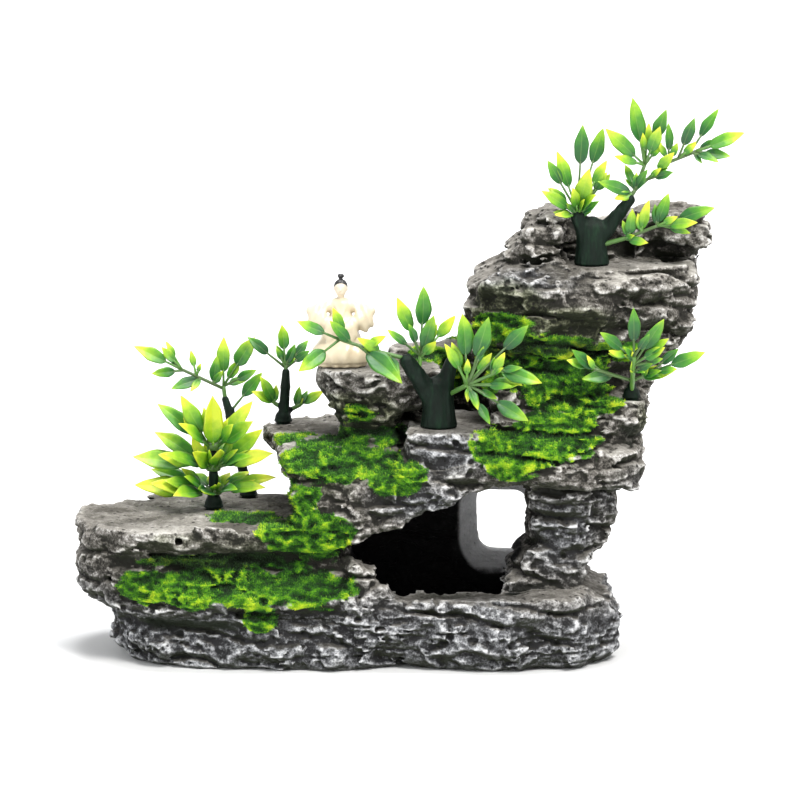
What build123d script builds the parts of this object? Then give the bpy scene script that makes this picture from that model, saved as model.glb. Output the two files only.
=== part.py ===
"""Aquarium cave ornament: cast-stone ledges round a cave, plug-in plastic plants, a seated figurine.

Millimetres. X runs to the right, Y to the back and Z up. The origin is the middle of the resting face.
"""

import os
from math import cos, radians, sin

from build123d import *

# --- Driving dimensions -------------------------------------------------------------------------
FRONT, BACK = -42.0, 38.0
AHEAD = -60.0  # clear in front of every stone
LIP_TOP = 24.0  # rim of the base round the cave
BASE_LEFT_TOP = 17.0  # where the left terrace beds on the base
CAVE_FLOOR = 8.0
TERRACE_TOP = 46.0
ROOF_RIGHT = 60.0  # underside of the roof beside the pillar
ROOF_BED = 66.0  # where the plant-foot rock beds on the mid terrace
MID_TOP = 72.0
FOOT_TOP = 78.0
LEDGE_LOW, LEDGE_TOP = 84.0, 95.0
SHOULDER_TOP = 87.0
COLUMN_TOP = 103.0
CRAG_TOP = 130.0
HOOD_TOP = 146.0

CAVE_LEFT, CAVE_RIGHT = -4.0, 56.0
WALL_FRONT, WALL_BACK = 18.0, 34.0  # the rear wall behind the cave
COLUMN_LEFT = 43.0

PEG_RADIUS, PEG_LENGTH = 2.5, 6.0
PEG_CLEARANCE = 0.05
SOCKET_SPARE = 0.5  # depth left under a peg
PIN_RADIUS, PIN_CLEARANCE = 0.8, 0.03

LEAF_THICK = 0.7
LEAF_WIDTH = 0.4  # of the blade's length
STALK_RADIUS = 0.45

PLANT_ROOTS = {
    "front_bush": (-50.0, 6.0, TERRACE_TOP),
    "rear_left_plant": (-39.0, 26.0, TERRACE_TOP),
    "rear_right_plant": (-27.0, 24.0, MID_TOP),
    "centre_plant": (25.5, -18.0, FOOT_TOP),
    "right_plant": (89.0, -14.0, SHOULDER_TOP),
    "summit_plant": (76.0, -4.0, CRAG_TOP),
}
FIGURINE_FOOT = (-7.0, 3.0, LEDGE_TOP)


# --- Helpers ------------------------------------------------------------------------------------
def front_prism(points):
    """The whole depth behind an outline given as (x, z)."""
    return extrude(Plane.XZ * Polygon(*points, align=None), amount=BACK - FRONT, both=True)


def plan_prism(points, low, high, inset=0.0):
    """A layer from low to high with an outline given as (x, y), drawn in by inset."""
    outline = Polygon(*points, align=None)
    if inset:
        outline = offset(outline, amount=-inset, kind=Kind.INTERSECTION)
    return Pos(0, 0, low) * extrude(outline, amount=high - low)


def fused(pieces):
    """The pieces as one solid."""
    solid = pieces[0]
    for piece in pieces[1:]:
        solid += piece
    return solid


def stone(front, plan, levels, insets):
    """A stone with the given front and plan outlines, in layers that step in and out."""
    layers = [
        plan_prism(plan, low, high, inset)
        for low, high, inset in zip(levels, levels[1:], insets)
    ]
    return front_prism(front) & fused(layers)


def slope(left, right, profile):
    """What is cut away in front of a sloping face, with an outline given as (y, z)."""
    return Pos(left, 0, 0) * extrude(Plane.YZ * Polygon(*profile, align=None), amount=right - left)


def rod(start, end, start_radius, end_radius=None):
    """A round bar between two points, tapered when the radii differ."""
    span = Vector(*end) - Vector(*start)
    place = Plane(origin=start, z_dir=span)
    if end_radius is None or end_radius == start_radius:
        solid = Solid.make_cylinder(start_radius, span.length, place)
    else:
        solid = Solid.make_cone(start_radius, end_radius, span.length, place)
    return Part() + solid


def shifted(point, step):
    return tuple(a + b for a, b in zip(point, step))


def socket(root):
    """The hole in a stone that takes a plant's peg."""
    depth = PEG_LENGTH + SOCKET_SPARE
    return rod(root, shifted(root, (0, 0, -depth)), PEG_RADIUS + PEG_CLEARANCE)


def peg(root):
    return rod(root, shifted(root, (0, 0, -PEG_LENGTH)), PEG_RADIUS)


def pin_hole(start, end):
    """The hole in a stump that takes a spray's pin, running out past the stump."""
    return rod(start, end, PIN_RADIUS + PIN_CLEARANCE)


def blade(foot, tip, facing):
    """One flat lance-shaped leaf from foot to tip."""
    span = Vector(*tip) - Vector(*foot)
    length = span.length
    half = LEAF_WIDTH * length / 2
    across = span.cross(facing).normalized()
    plane = Plane(origin=foot, x_dir=span, z_dir=across.cross(span))
    outline = [
        (0, 0.35),
        (0.38 * length, half),
        (0.68 * length, 0.8 * half),
        (length, 0.1),
        (length, -0.1),
        (0.68 * length, -0.8 * half),
        (0.38 * length, -half),
        (0, -0.35),
    ]
    face = plane * Polygon(*outline, align=None)
    return extrude(face, amount=LEAF_THICK / 2, both=True)


def aim(heading, swing, reach):
    """A step of length reach: heading turns from +X up towards +Z, swing turns towards the front."""
    up, forward = radians(heading), radians(swing)
    return (
        reach * cos(up) * cos(forward),
        -reach * sin(forward),
        reach * sin(up) * cos(forward),
    )


def leaf(foot, heading, swing, reach, length, facing=Vector(0.15, -1, 0.45)):
    """A stalk with a blade on its far end."""
    tip = shifted(foot, aim(heading, swing, reach))
    neck = shifted(foot, aim(heading, swing, max(reach - length, 0.3)))
    return rod(foot, neck, STALK_RADIUS) + blade(neck, tip, facing)


def spray(root, twigs):
    """Twigs of (start, end, radius, leaves), each leaf as (along, heading, swing, reach, length)."""
    pieces = []
    for start, end, radius, leaves in twigs:
        foot = shifted(root, start)
        head = shifted(root, end)
        pieces.append(rod(foot, head, radius))
        for along, heading, swing, reach, length in leaves:
            at = tuple(a + along * (b - a) for a, b in zip(foot, head))
            pieces.append(leaf(at, heading, swing, reach, length))
    return fused(pieces)


def whorl(root, height, inner, collar, leaves):
    """A collar on the stem with leaves round it, each as (azimuth, rise, reach, length)."""
    centre = shifted(root, (0, 0, height))
    solid = rod(centre, shifted(centre, (0, 0, collar)), inner + 1.2)
    for azimuth, rise, reach, length in leaves:
        level = radians(azimuth)
        lift = radians(rise)
        way = (cos(level) * cos(lift), sin(level) * cos(lift), sin(lift))
        foot = shifted(centre, (cos(level) * inner, sin(level) * inner, collar / 2))
        neck = shifted(foot, tuple((reach - length) * step for step in way))
        tip = shifted(foot, tuple(reach * step for step in way))
        facing = Vector(-0.3 * way[0], -0.3 * way[1] - 0.9, 0.7)
        solid += rod(foot, neck, STALK_RADIUS)
        solid += blade(neck, tip, facing)
    return solid


# --- Stones -------------------------------------------------------------------------------------
def base_slab():
    front = [
        (-76, 0), (-83, 4), (-86, 12), (-83, BASE_LEFT_TOP), (CAVE_LEFT, BASE_LEFT_TOP),
        (CAVE_LEFT, LIP_TOP), (74, LIP_TOP), (81, 20), (86, 11), (86, 5), (80, 0),
    ]
    plan = [
        (-86, 0), (-82, -18), (-70, -32), (-44, -39), (-8, -40), (6, -37), (26, -39), (52, FRONT),
        (72, -36), (84, -22), (86, 0), (82, 18), (68, 30), (30, 36), (-10, BACK), (-50, 35),
        (-74, 26), (-84, 14),
    ]
    levels = [0, 4, 9, 13, LIP_TOP]
    solid = stone(front, plan, levels, [1.5, 0, 1.5, 0])
    from_floor = (Align.CENTER, Align.CENTER, Align.MIN)
    pocket = Pos(26, -3, CAVE_FLOOR) * Box(48, 40, LIP_TOP, align=from_floor)
    front_notch = Pos(14, FRONT, 0) * Rot(0, 45, 0) * Box(5, 24, 5)
    return solid - pocket - front_notch


def left_terrace():
    front = [
        (-83, BASE_LEFT_TOP), (-88, 20), (-93, 25), (-96, 30), (-92, 35), (-95, 40), (-94, TERRACE_TOP),
        (CAVE_LEFT, TERRACE_TOP), (CAVE_LEFT, BASE_LEFT_TOP),
    ]
    plan = [
        (-96, -4), (-92, -20), (-78, -32), (-52, -39), (-20, -39), (CAVE_LEFT, -38), (CAVE_LEFT, 32),
        (-30, 34), (-62, 31), (-82, 22), (-94, 10),
    ]
    levels = [BASE_LEFT_TOP, 20, 36, 40, TERRACE_TOP]
    solid = stone(front, plan, levels, [2, 0, 2, 0.5])
    above = TERRACE_TOP + 1
    bank = [
        (AHEAD, 20), (-41, 20), (-28, 33), (-28, 37), (-33, 39), (-33, above), (AHEAD, above),
    ]
    solid -= slope(-97, CAVE_LEFT, bank)
    corner = [(CAVE_LEFT, LIP_TOP), (CAVE_LEFT, 37), (14, LIP_TOP)]
    corner_plan = [(CAVE_LEFT, -37), (14, -37), (14, -25), (CAVE_LEFT, -25)]
    solid += front_prism(corner) & plan_prism(corner_plan, LIP_TOP, 37)
    return solid - socket(PLANT_ROOTS["front_bush"]) - socket(PLANT_ROOTS["rear_left_plant"])


def mid_terrace():
    front = [
        (-21, TERRACE_TOP), (CAVE_LEFT, TERRACE_TOP), (CAVE_LEFT, 40), (23, 53), (38, 59),
        (COLUMN_LEFT, ROOF_RIGHT), (COLUMN_LEFT, ROOF_BED), (12, ROOF_BED), (12, MID_TOP),
        (-30, MID_TOP), (-33, 69), (-24, 60),
    ]
    plan = [
        (-23, -32), (0, -35), (22, -34), (COLUMN_LEFT, -33), (COLUMN_LEFT, WALL_FRONT),
        (CAVE_LEFT, WALL_FRONT), (CAVE_LEFT, 31), (-30, 31), (-34, 20), (-29, 6), (-26, -16),
    ]
    solid = front_prism(front) & plan_prism(plan, 40, MID_TOP)
    solid -= slope(-34, 12, [(AHEAD, 61), (-37, 61), (-15, MID_TOP + 0.5), (AHEAD, MID_TOP + 1)])
    return solid - socket(PLANT_ROOTS["rear_right_plant"])


def plant_foot_rock():
    plan = [(13, -28), (24, -33), (COLUMN_LEFT, -31), (COLUMN_LEFT, 16), (16, 16), (12, -6)]
    front = [(12, ROOF_BED), (14, 74), (16, FOOT_TOP), (COLUMN_LEFT, FOOT_TOP), (COLUMN_LEFT, ROOF_BED)]
    solid = front_prism(front) & plan_prism(plan, ROOF_BED, FOOT_TOP)
    return solid - socket(PLANT_ROOTS["centre_plant"])


def figurine_ledge():
    stem_low, stem_high = -2.0, -13.0
    front = [
        (stem_low, MID_TOP), (11, MID_TOP), (11, 80), (24, LEDGE_LOW), (25, LEDGE_TOP),
        (-15, LEDGE_TOP), (-16, 90), (stem_high, LEDGE_LOW + 2),
    ]
    plan = [(-16, -6), (-8, -17), (14, -18), (25, -10), (25, 16), (-6, 17), (-16, 10)]
    cap = plan_prism(plan, LEDGE_LOW - 4, LEDGE_TOP)
    stem = plan_prism(plan, MID_TOP, LEDGE_LOW - 4, 4)
    return front_prism(front) & (cap + stem)


def rear_wall():
    front = [
        (CAVE_LEFT, LIP_TOP), (CAVE_RIGHT, LIP_TOP), (CAVE_RIGHT, ROOF_RIGHT), (COLUMN_LEFT, ROOF_RIGHT),
        (COLUMN_LEFT, 97), (36, 99), (10, 98), (6, 82), (CAVE_LEFT, MID_TOP),
    ]
    plan = [
        (CAVE_LEFT, WALL_FRONT), (CAVE_RIGHT, WALL_FRONT), (CAVE_RIGHT, 31), (34, WALL_BACK), (6, 33),
        (CAVE_LEFT, 31),
    ]
    solid = front_prism(front) & plan_prism(plan, LIP_TOP, 99)
    window = [(42, 27), (CAVE_RIGHT, 27), (CAVE_RIGHT, 47), (53, 49), (41, 49), (39, 47), (39, 31)]
    return solid - front_prism(window)


def right_column():
    front = [
        (CAVE_RIGHT, LIP_TOP), (72, LIP_TOP), (73, 31), (80, 40), (87, 48), (90, 58), (94, 73), (93, 80),
        (95, SHOULDER_TOP), (98, 93), (104, COLUMN_TOP), (36, COLUMN_TOP), (COLUMN_LEFT, 97),
        (COLUMN_LEFT, ROOF_RIGHT), (CAVE_RIGHT, ROOF_RIGHT),
    ]
    foot = [(CAVE_RIGHT, -26), (70, -28), (82, -18), (84, 14), (72, 28), (CAVE_RIGHT, 30)]
    trunk = [(40, -32), (64, -34), (86, -28), (95, -14), (94, 18), (78, 30), (40, 31)]
    shelf = [(40, -24), (66, -26), (88, -24), (96, -16), (96, 18), (80, 30), (40, 31)]
    neck = [(36, -14), (60, -17), (76, -15), (82, -4), (104, 0), (104, 20), (84, 31), (36, 31)]
    layers = [
        plan_prism(foot, LIP_TOP, ROOF_RIGHT),
        plan_prism(trunk, ROOF_RIGHT, 72),
        plan_prism(trunk, 72, FOOT_TOP, 3),
        plan_prism(shelf, FOOT_TOP, SHOULDER_TOP),
        plan_prism(neck, SHOULDER_TOP, COLUMN_TOP),
    ]
    solid = front_prism(front) & fused(layers)
    corner = [(46, LIP_TOP), (CAVE_RIGHT, LIP_TOP), (CAVE_RIGHT, 36)]
    corner_plan = [(46, -28), (CAVE_RIGHT, -26), (CAVE_RIGHT, 12), (46, 12)]
    solid += front_prism(corner) & plan_prism(corner_plan, LIP_TOP, 36)
    lower_bank = [
        (AHEAD, 66), (-35, 66), (-29, 76), (-26, FOOT_TOP), (-19, SHOULDER_TOP), (AHEAD, SHOULDER_TOP),
    ]
    upper_bank = [(AHEAD, SHOULDER_TOP), (-18, SHOULDER_TOP), (-11, COLUMN_TOP), (AHEAD, COLUMN_TOP)]
    solid -= slope(39, 82, lower_bank)
    solid -= slope(35, 80, upper_bank)
    return solid - socket(PLANT_ROOTS["right_plant"])


def summit_crag():
    front = [
        (36, COLUMN_TOP), (34, 108), (33, 118), (39, 123), (49, CRAG_TOP), (110, CRAG_TOP), (111, 127),
        (114, 120), (109, 114), (104, COLUMN_TOP),
    ]
    plan = [
        (33, -6), (42, -18), (60, -22), (78, -19), (96, -13), (112, -5), (114, 6), (112, 22), (96, 31),
        (60, 32), (38, 24),
    ]
    levels = [COLUMN_TOP, 110, 118, 122, CRAG_TOP]
    solid = stone(front, plan, levels, [3, 0, 1.5, 0])
    solid -= slope(32, 116, [(AHEAD, 119), (-25, 119), (-11, CRAG_TOP + 0.5), (AHEAD, CRAG_TOP + 1)])
    return solid - socket(PLANT_ROOTS["summit_plant"])


def summit_hood():
    front = [
        (49, CRAG_TOP), (54, 136), (56, 143), (61, HOOD_TOP), (68, HOOD_TOP + 1), (76, 141), (86, 142),
        (94, HOOD_TOP), (112, HOOD_TOP), (116, 141), (115, 135), (110, CRAG_TOP),
    ]
    plan = [
        (46, 2), (56, -8), (66, -6), (68, 8), (90, 12), (92, 5), (114, 4), (115, 20), (100, 30), (60, 30),
        (46, 20),
    ]
    solid = front_prism(front) & plan_prism(plan, CRAG_TOP, HOOD_TOP + 2)
    recess = Pos(102, 4, CRAG_TOP) * Box(16, 12, 6, align=(Align.CENTER, Align.CENTER, Align.MIN))
    return solid - recess


# --- Figurine -----------------------------------------------------------------------------------
def seated_figurine():
    """Robed figure, legs crossed, hands together in wide sleeves, hair in a topknot."""
    foot = FIGURINE_FOOT
    robe = rod(foot, shifted(foot, (0, 0, 9)), 9.6, 7.4)
    torso = rod(shifted(foot, (0, 0.5, 7)), shifted(foot, (0, 0.5, 22)), 6.2, 3.0)
    neck = rod(shifted(foot, (0, 0.5, 21)), shifted(foot, (0, 0.3, 24.5)), 1.3)
    head = Pos(*shifted(foot, (0, 0.2, 25.8))) * Sphere(2.5)
    knot = Pos(*shifted(foot, (0, 0.6, 29.2))) * Sphere(1.3)
    figure = robe + torso + neck + head + knot
    for side in (-1, 1):
        shoulder = shifted(foot, (side * 2.4, 0.4, 20.5))
        elbow = shifted(foot, (side * 9.4, -1.4, 18))
        cuff = shifted(foot, (side * 2.2, -6.4, 13))
        figure += rod(shoulder, elbow, 1.9, 2.2)
        figure += rod(elbow, cuff, 2.6, 1.8)
    return figure


# --- Plants -------------------------------------------------------------------------------------
# A twig is (start, end, radius, leaves) from the plant's root; a leaf is
# (along the twig, heading, swing to the front, reach, blade length). The first twig starts on the pin.
CENTRE_LEFT_ARM = (-10.5, -5.0, 22.5)
CENTRE_RIGHT_ARM = (3.8, -1.0, 21.0)
SUMMIT_LEFT_ARM = (-4.5, -2.0, 15.5)
SUMMIT_RIGHT_ARM = (12.4, -2.0, 21.5)

CENTRE_LEFT_SPRAY = [
    ((-9.0, -4.7, 20.0), (-12.0, -5.4, 23.8), PIN_RADIUS, []),
    ((-11.6, -5.3, 23.6), (-22.0, -5.6, 26.4), 0.7, [(0.7, 146, 20, 10, 9), (0.45, -66, 30, 9, 8)]),
    ((-22.0, -5.6, 26.4), (-33.0, -5.6, 30.0), 0.6, [
        (0.6, 132, 15, 11, 10), (0.75, 112, -5, 12, 8.5), (1, 155, 10, 15, 10), (0.2, 30, 5, 8, 7),
        (0.95, 215, 25, 18, 11.5), (0.4, -38, 25, 20, 16),
    ]),
]
CENTRE_UP_SPRAY = [
    ((-7.0, -4.0, 17.6), (-6.0, -3.2, 24.0), PIN_RADIUS, [
        (1, 112, 0, 21, 12), (1, 88, 5, 23.5, 13), (0.9, 74, 22, 17, 13), (0.9, 50, -8, 18, 9),
    ]),
]
CENTRE_RIGHT_SPRAY = [
    ((3.4, -1.5, 11.0), (9.4, -9.5, 15.5), PIN_RADIUS, [
        (1, 95, 5, 24, 14), (0.9, 108, 12, 16, 9), (1, 74, 8, 24, 14), (1, 46, 6, 28, 11),
        (1, 4, 12, 18, 10), (1, -30, 10, 23, 12), (1, -68, 20, 9, 7),
    ]),
    ((9.4, -9.5, 15.5), (20.0, -11.5, 20.5), 0.6, [(1, -16, 8, 14, 13), (0.7, 60, 10, 9, 7)]),
]
SUMMIT_LEFT_SPRAY = [
    ((-3.3, -1.6, 12.4), (-5.0, -2.1, 17.6), PIN_RADIUS, [
        (1, 87, 3, 29, 13), (0.95, 73, -7, 29, 12), (0.85, 109, -2, 22, 12.5), (0.75, 146, 6, 15, 10.5),
        (0.9, 78, 27, 18, 14), (0.8, 103, 38, 13, 9), (0.8, 36, 22, 9, 7.5),
    ]),
]
SUMMIT_RIGHT_SPRAY = [
    ((10.4, -2.0, 19.2), (14.0, -2.0, 24.8), PIN_RADIUS, [
        (0.8, 160, 15, 13, 12), (1, 62, 25, 9, 8), (1, 112, -15, 9, 6.5),
    ]),
    ((14.0, -2.0, 24.8), (17.0, -2.4, 33.0), 0.7, [
        (1, 101, 5, 23, 15), (1, 84, -12, 14, 8.5), (1, 137, 4, 18, 13.5), (1, 70, 8, 20, 10.5),
    ]),
    ((14.0, -2.0, 24.8), (24.0, -1.5, 33.5), 0.6, [(0.6, 50, 25, 11, 8.5), (0.4, 20, 30, 10, 7)]),
    ((24.0, -1.5, 33.5), (34.0, -1.5, 37.4), 0.6, [
        (0.1, 92, 0, 13, 9), (0.4, 70, 12, 15, 10), (0.75, 56, -10, 18, 11), (1, 22, 4, 17, 12.5),
        (0.9, -20, 14, 9, 7.5),
    ]),
]
SUMMIT_LOW_SPRAY = [
    ((3.4, -2.0, 6.6), (12.0, -4.0, 9.4), PIN_RADIUS, [(1, 84, 5, 9.5, 8.5), (0.8, -6, 30, 9, 7)]),
    ((12.0, -4.0, 9.4), (22.0, -5.0, 13.6), 0.6, [
        (0.4, 78, 12, 11.5, 10), (0.9, 70, -5, 11.5, 10), (1, 18, 5, 19, 12.5), (0.9, 8, 20, 14, 9.5),
    ]),
]
RIGHT_PLANT_SPRAY = [
    ((0.0, -0.8, 1.5), (0.0, -11.5, 15.5), PIN_RADIUS, [
        (1, 92, 12, 17, 11.5), (0.95, 141, 14, 15, 9.5), (0.9, 126, 30, 7, 6), (0.8, 59, 16, 19, 12.5),
        (0.75, 40, 12, 15, 7.5), (0.6, 28, 30, 8, 6), (0.5, 97, 40, 7, 5),
    ]),
    ((0.0, -3.6, 6.1), (-13.0, -12.5, 11.5), 0.6, [
        (1, 138, 8, 10, 9.5), (0.85, 160, 12, 12, 7), (0.5, 184, 18, 11, 9.5),
    ]),
    ((0.0, -3.6, 6.1), (6.0, -6.5, 9.5), 0.6, [
        (1, 22, 8, 19, 12), (1, 10, 20, 9, 6), (0.5, 24, 35, 8, 7), (0.3, 12, 10, 12, 10),
    ]),
]
REAR_LEFT_SPRAY = [
    ((-7.6, 1.4, 31.0), (-8.4, 2.0, 37.5), PIN_RADIUS, [
        (1, 89, 0, 17, 12), (1, 58, 10, 21, 12), (1, 18, -8, 10, 8),
    ]),
    ((-8.3, 1.9, 36.6), (-22.5, 0.0, 43.6), 0.6, [
        (1, 153, 5, 18, 12), (1, 120, -10, 11, 6), (0.95, 184, 12, 11, 8), (0.55, 198, 20, 11, 10),
        (0.65, 102, -5, 9, 5.5), (0.25, 82, 5, 10, 9),
    ]),
]
REAR_LEFT_LOW_LEAF = (-5.9, 1.1, 29.0)
REAR_RIGHT_SPRAY = [
    ((0.9, 0.0, 14.4), (1.0, 0.0, 19.4), PIN_RADIUS, [
        (0.8, 95, 0, 15, 8.5), (0.8, 140, 5, 17, 9), (0.9, 115, -12, 8, 6.5), (1, 66, 0, 8, 7),
        (0.8, 36, -5, 10, 6), (0.9, 48, -20, 12, 7),
    ]),
]
REAR_RIGHT_LOW_SPRAY = [
    ((-0.6, 0.0, 5.0), (-3.0, -0.4, 6.4), PIN_RADIUS, [(1, 116, 12, 11, 10), (1, 150, 14, 9, 8)]),
]
REAR_RIGHT_SIDE_SPRAY = [
    ((0.6, 0.4, 3.0), (6.0, 1.6, 5.6), PIN_RADIUS, [(1, 30, -5, 9, 8), (0.7, 80, -10, 7, 6.5)]),
]


def stump(root, height, radii, arms, holes):
    """A forked trunk on its peg, with a pin hole for each spray."""
    fork = shifted(root, (0, 0, height))
    solid = rod(root, fork, *radii) + peg(root)
    for arm, arm_radii in arms:
        low = shifted(root, (0.12 * arm[0], 0.12 * arm[1], height - 4))
        solid += rod(low, shifted(root, arm), *arm_radii)
    for twigs in holes:
        start, end = twigs[0][0], twigs[0][1]
        solid -= pin_hole(shifted(root, start), shifted(root, end))
    return solid


def straight_stem(root, joints, radii, holes):
    """A slim stem through the given joints, on its peg."""
    solid = peg(root) + rod(root, shifted(root, (0, 0, 1.6)), 3.2)
    points = [root] + [shifted(root, joint) for joint in joints]
    for low, high, radius in zip(points, points[1:], radii):
        solid += rod(low, high, radius)
        solid += Pos(*high) * Sphere(radius) if high != points[-1] else None
    for twigs in holes:
        solid -= pin_hole(shifted(root, twigs[0][0]), shifted(root, twigs[0][1]))
    return solid


BUSH_STEPS = [(0, 2.2), (4.5, 1.7), (12.5, 1.3), (19.5, 0.9)]  # (height, radius above it)
BUSH_STEM_TOP = 21.5
COLLAR = 2.4
BUSH_WHORLS = {
    "front_bush_low_leaves": (1, [
        (188, 6, 25, 18), (207, 12, 22, 16), (168, 18, 21, 15), (232, 4, 19, 14), (262, 10, 16, 12),
        (300, 12, 16, 12), (336, 8, 18, 13), (356, 14, 20, 14), (30, 24, 13, 10), (70, 20, 11, 8),
        (120, 16, 13, 10),
    ]),
    "front_bush_middle_leaves": (2, [
        (181, 8, 26, 18), (172, 32, 22, 16), (215, 20, 19, 15), (246, 30, 16, 13), (282, 34, 16, 13),
        (318, 20, 18, 14), (350, 16, 20, 15), (8, 40, 20, 15), (70, 40, 12, 9), (130, 36, 13, 10),
    ]),
    "front_bush_top_leaves": (3, [
        (272, 74, 20, 18), (196, 62, 21, 15), (178, 40, 23, 16), (222, 36, 17, 13), (6, 52, 20, 15),
        (338, 36, 17, 13), (90, 62, 14, 11), (50, 46, 14, 10),
    ]),
}


def front_bush_stem(root):
    """A stem whose steps carry the three collars of leaves."""
    solid = peg(root) + rod(root, shifted(root, (0, 0, 1.6)), 3.4)
    tops = [height for height, _ in BUSH_STEPS[1:]] + [BUSH_STEM_TOP]
    for (height, radius), top in zip(BUSH_STEPS, tops):
        solid += rod(shifted(root, (0, 0, height)), shifted(root, (0, 0, top)), radius)
    return solid


def front_bush_leaves(root, step, leaves):
    height, radius = BUSH_STEPS[step]
    solid = whorl(root, height, radius, COLLAR, leaves)
    bore = rod(
        shifted(root, (0, 0, height)),
        shifted(root, (0, 0, height + COLLAR + 1)),
        radius + PIN_CLEARANCE,
    )
    return solid - bore


def plants():
    nodes = {}
    root = PLANT_ROOTS["front_bush"]
    nodes["front_bush_stem"] = front_bush_stem(root)
    for name, (step, leaves) in BUSH_WHORLS.items():
        nodes[name] = front_bush_leaves(root, step, leaves)

    root = PLANT_ROOTS["rear_left_plant"]
    nodes["rear_left_stem"] = straight_stem(
        root, [(-6, 1, 27), (-7.8, 1.6, 33)], [1.6, 1.4], [REAR_LEFT_SPRAY]
    ) + leaf(shifted(root, REAR_LEFT_LOW_LEAF), 50, -14, 17, 10.5)
    nodes["rear_left_spray"] = spray(root, REAR_LEFT_SPRAY)

    root = PLANT_ROOTS["rear_right_plant"]
    holes = [REAR_RIGHT_SPRAY, REAR_RIGHT_LOW_SPRAY, REAR_RIGHT_SIDE_SPRAY]
    nodes["rear_right_stem"] = straight_stem(root, [(0.8, 0, 12), (1, 0, 17)], [1.7, 1.5], holes)
    nodes["rear_right_spray"] = spray(root, REAR_RIGHT_SPRAY)
    nodes["rear_right_low_spray"] = spray(root, REAR_RIGHT_LOW_SPRAY)
    nodes["rear_right_side_spray"] = spray(root, REAR_RIGHT_SIDE_SPRAY)

    root = PLANT_ROOTS["centre_plant"]
    sprays = {
        "centre_left_spray": CENTRE_LEFT_SPRAY,
        "centre_up_spray": CENTRE_UP_SPRAY,
        "centre_right_spray": CENTRE_RIGHT_SPRAY,
    }
    arms = [(CENTRE_LEFT_ARM, (3.4, 2.4)), (CENTRE_RIGHT_ARM, (3.2, 2.0))]
    nodes["centre_stump"] = stump(root, 12.5, (5.6, 4.4), arms, sprays.values())
    nodes.update({name: spray(root, twigs) for name, twigs in sprays.items()})

    root = PLANT_ROOTS["summit_plant"]
    sprays = {
        "summit_left_spray": SUMMIT_LEFT_SPRAY,
        "summit_right_spray": SUMMIT_RIGHT_SPRAY,
        "summit_low_spray": SUMMIT_LOW_SPRAY,
    }
    arms = [(SUMMIT_LEFT_ARM, (3.2, 2.5)), (SUMMIT_RIGHT_ARM, (2.8, 1.7))]
    nodes["summit_stump"] = stump(root, 11.5, (5.4, 4.2), arms, sprays.values())
    nodes.update({name: spray(root, twigs) for name, twigs in sprays.items()})

    root = PLANT_ROOTS["right_plant"]
    nodes["right_plant_foot"] = straight_stem(root, [(0, -1.4, 4)], [1.8], [RIGHT_PLANT_SPRAY])
    nodes["right_plant_spray"] = spray(root, RIGHT_PLANT_SPRAY)
    return nodes


def main():
    nodes = {
        "base_slab": base_slab(),
        "left_terrace": left_terrace(),
        "mid_terrace": mid_terrace(),
        "plant_foot_rock": plant_foot_rock(),
        "figurine_ledge": figurine_ledge(),
        "rear_wall": rear_wall(),
        "right_column": right_column(),
        "summit_crag": summit_crag(),
        "summit_hood": summit_hood(),
        "seated_figurine": seated_figurine(),
        **plants(),
    }
    os.makedirs("parts", exist_ok=True)
    for name, shape in nodes.items():
        export_step(shape, f"parts/{name}.step")


main()
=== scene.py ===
"""Looks of the aquarium cave ornament: sculpted rock, moss, moulded plants and a glazed figurine.

Shapes are worked out in millimetres and turned into metres when a mesh is made.
"""

import math

import bpy
import numpy as np
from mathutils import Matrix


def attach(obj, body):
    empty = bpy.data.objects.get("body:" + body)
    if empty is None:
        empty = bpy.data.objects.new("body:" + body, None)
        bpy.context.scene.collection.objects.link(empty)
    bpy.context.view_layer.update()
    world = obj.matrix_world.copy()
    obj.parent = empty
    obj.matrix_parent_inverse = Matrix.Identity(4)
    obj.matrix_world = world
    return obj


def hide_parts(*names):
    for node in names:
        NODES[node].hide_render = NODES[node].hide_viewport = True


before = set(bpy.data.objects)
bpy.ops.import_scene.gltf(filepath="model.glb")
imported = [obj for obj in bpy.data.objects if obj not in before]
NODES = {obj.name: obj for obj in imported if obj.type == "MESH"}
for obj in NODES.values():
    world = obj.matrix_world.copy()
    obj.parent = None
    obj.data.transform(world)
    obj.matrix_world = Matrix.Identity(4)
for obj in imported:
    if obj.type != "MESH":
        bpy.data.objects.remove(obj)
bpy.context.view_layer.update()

import openvdb
from mathutils import Vector

MM = 0.001

STONES = [
    "base_slab", "left_terrace", "mid_terrace", "plant_foot_rock", "figurine_ledge", "rear_wall",
    "right_column", "summit_crag", "summit_hood",
]

# Where the plants and the figurine stand on the rock, as in the CAD model.
PLANT_ROOTS = {
    "front_bush": (-50.0, 6.0, 46.0),
    "rear_left_plant": (-39.0, 26.0, 46.0),
    "rear_right_plant": (-27.0, 24.0, 72.0),
    "centre_plant": (25.5, -18.0, 78.0),
    "right_plant": (89.0, -14.0, 87.0),
    "summit_plant": (76.0, -4.0, 130.0),
}
FIGURINE_FOOT = (-7.0, 3.0, 95.0)
FOOT_RADII = {"centre_plant": 6.5, "summit_plant": 6.3, "figurine": 10.0}
SMALL_FOOT = 4.2  # the foot radius of everything else
PEG_RADIUS, PEG_LENGTH = 2.5, 6.0
SOCKET_RADIUS, SOCKET_DEPTH = 2.9, 6.6


# --- Noise --------------------------------------------------------------------------------------
LATTICE = 64
RNG = np.random.default_rng(11)
LATTICE_VALUES = RNG.uniform(-1, 1, LATTICE**3).astype(np.float32)


def smooth(low, high, value):
    part = np.clip((value - low) / (high - low), 0, 1)
    return part * part * (3 - 2 * part)


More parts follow.
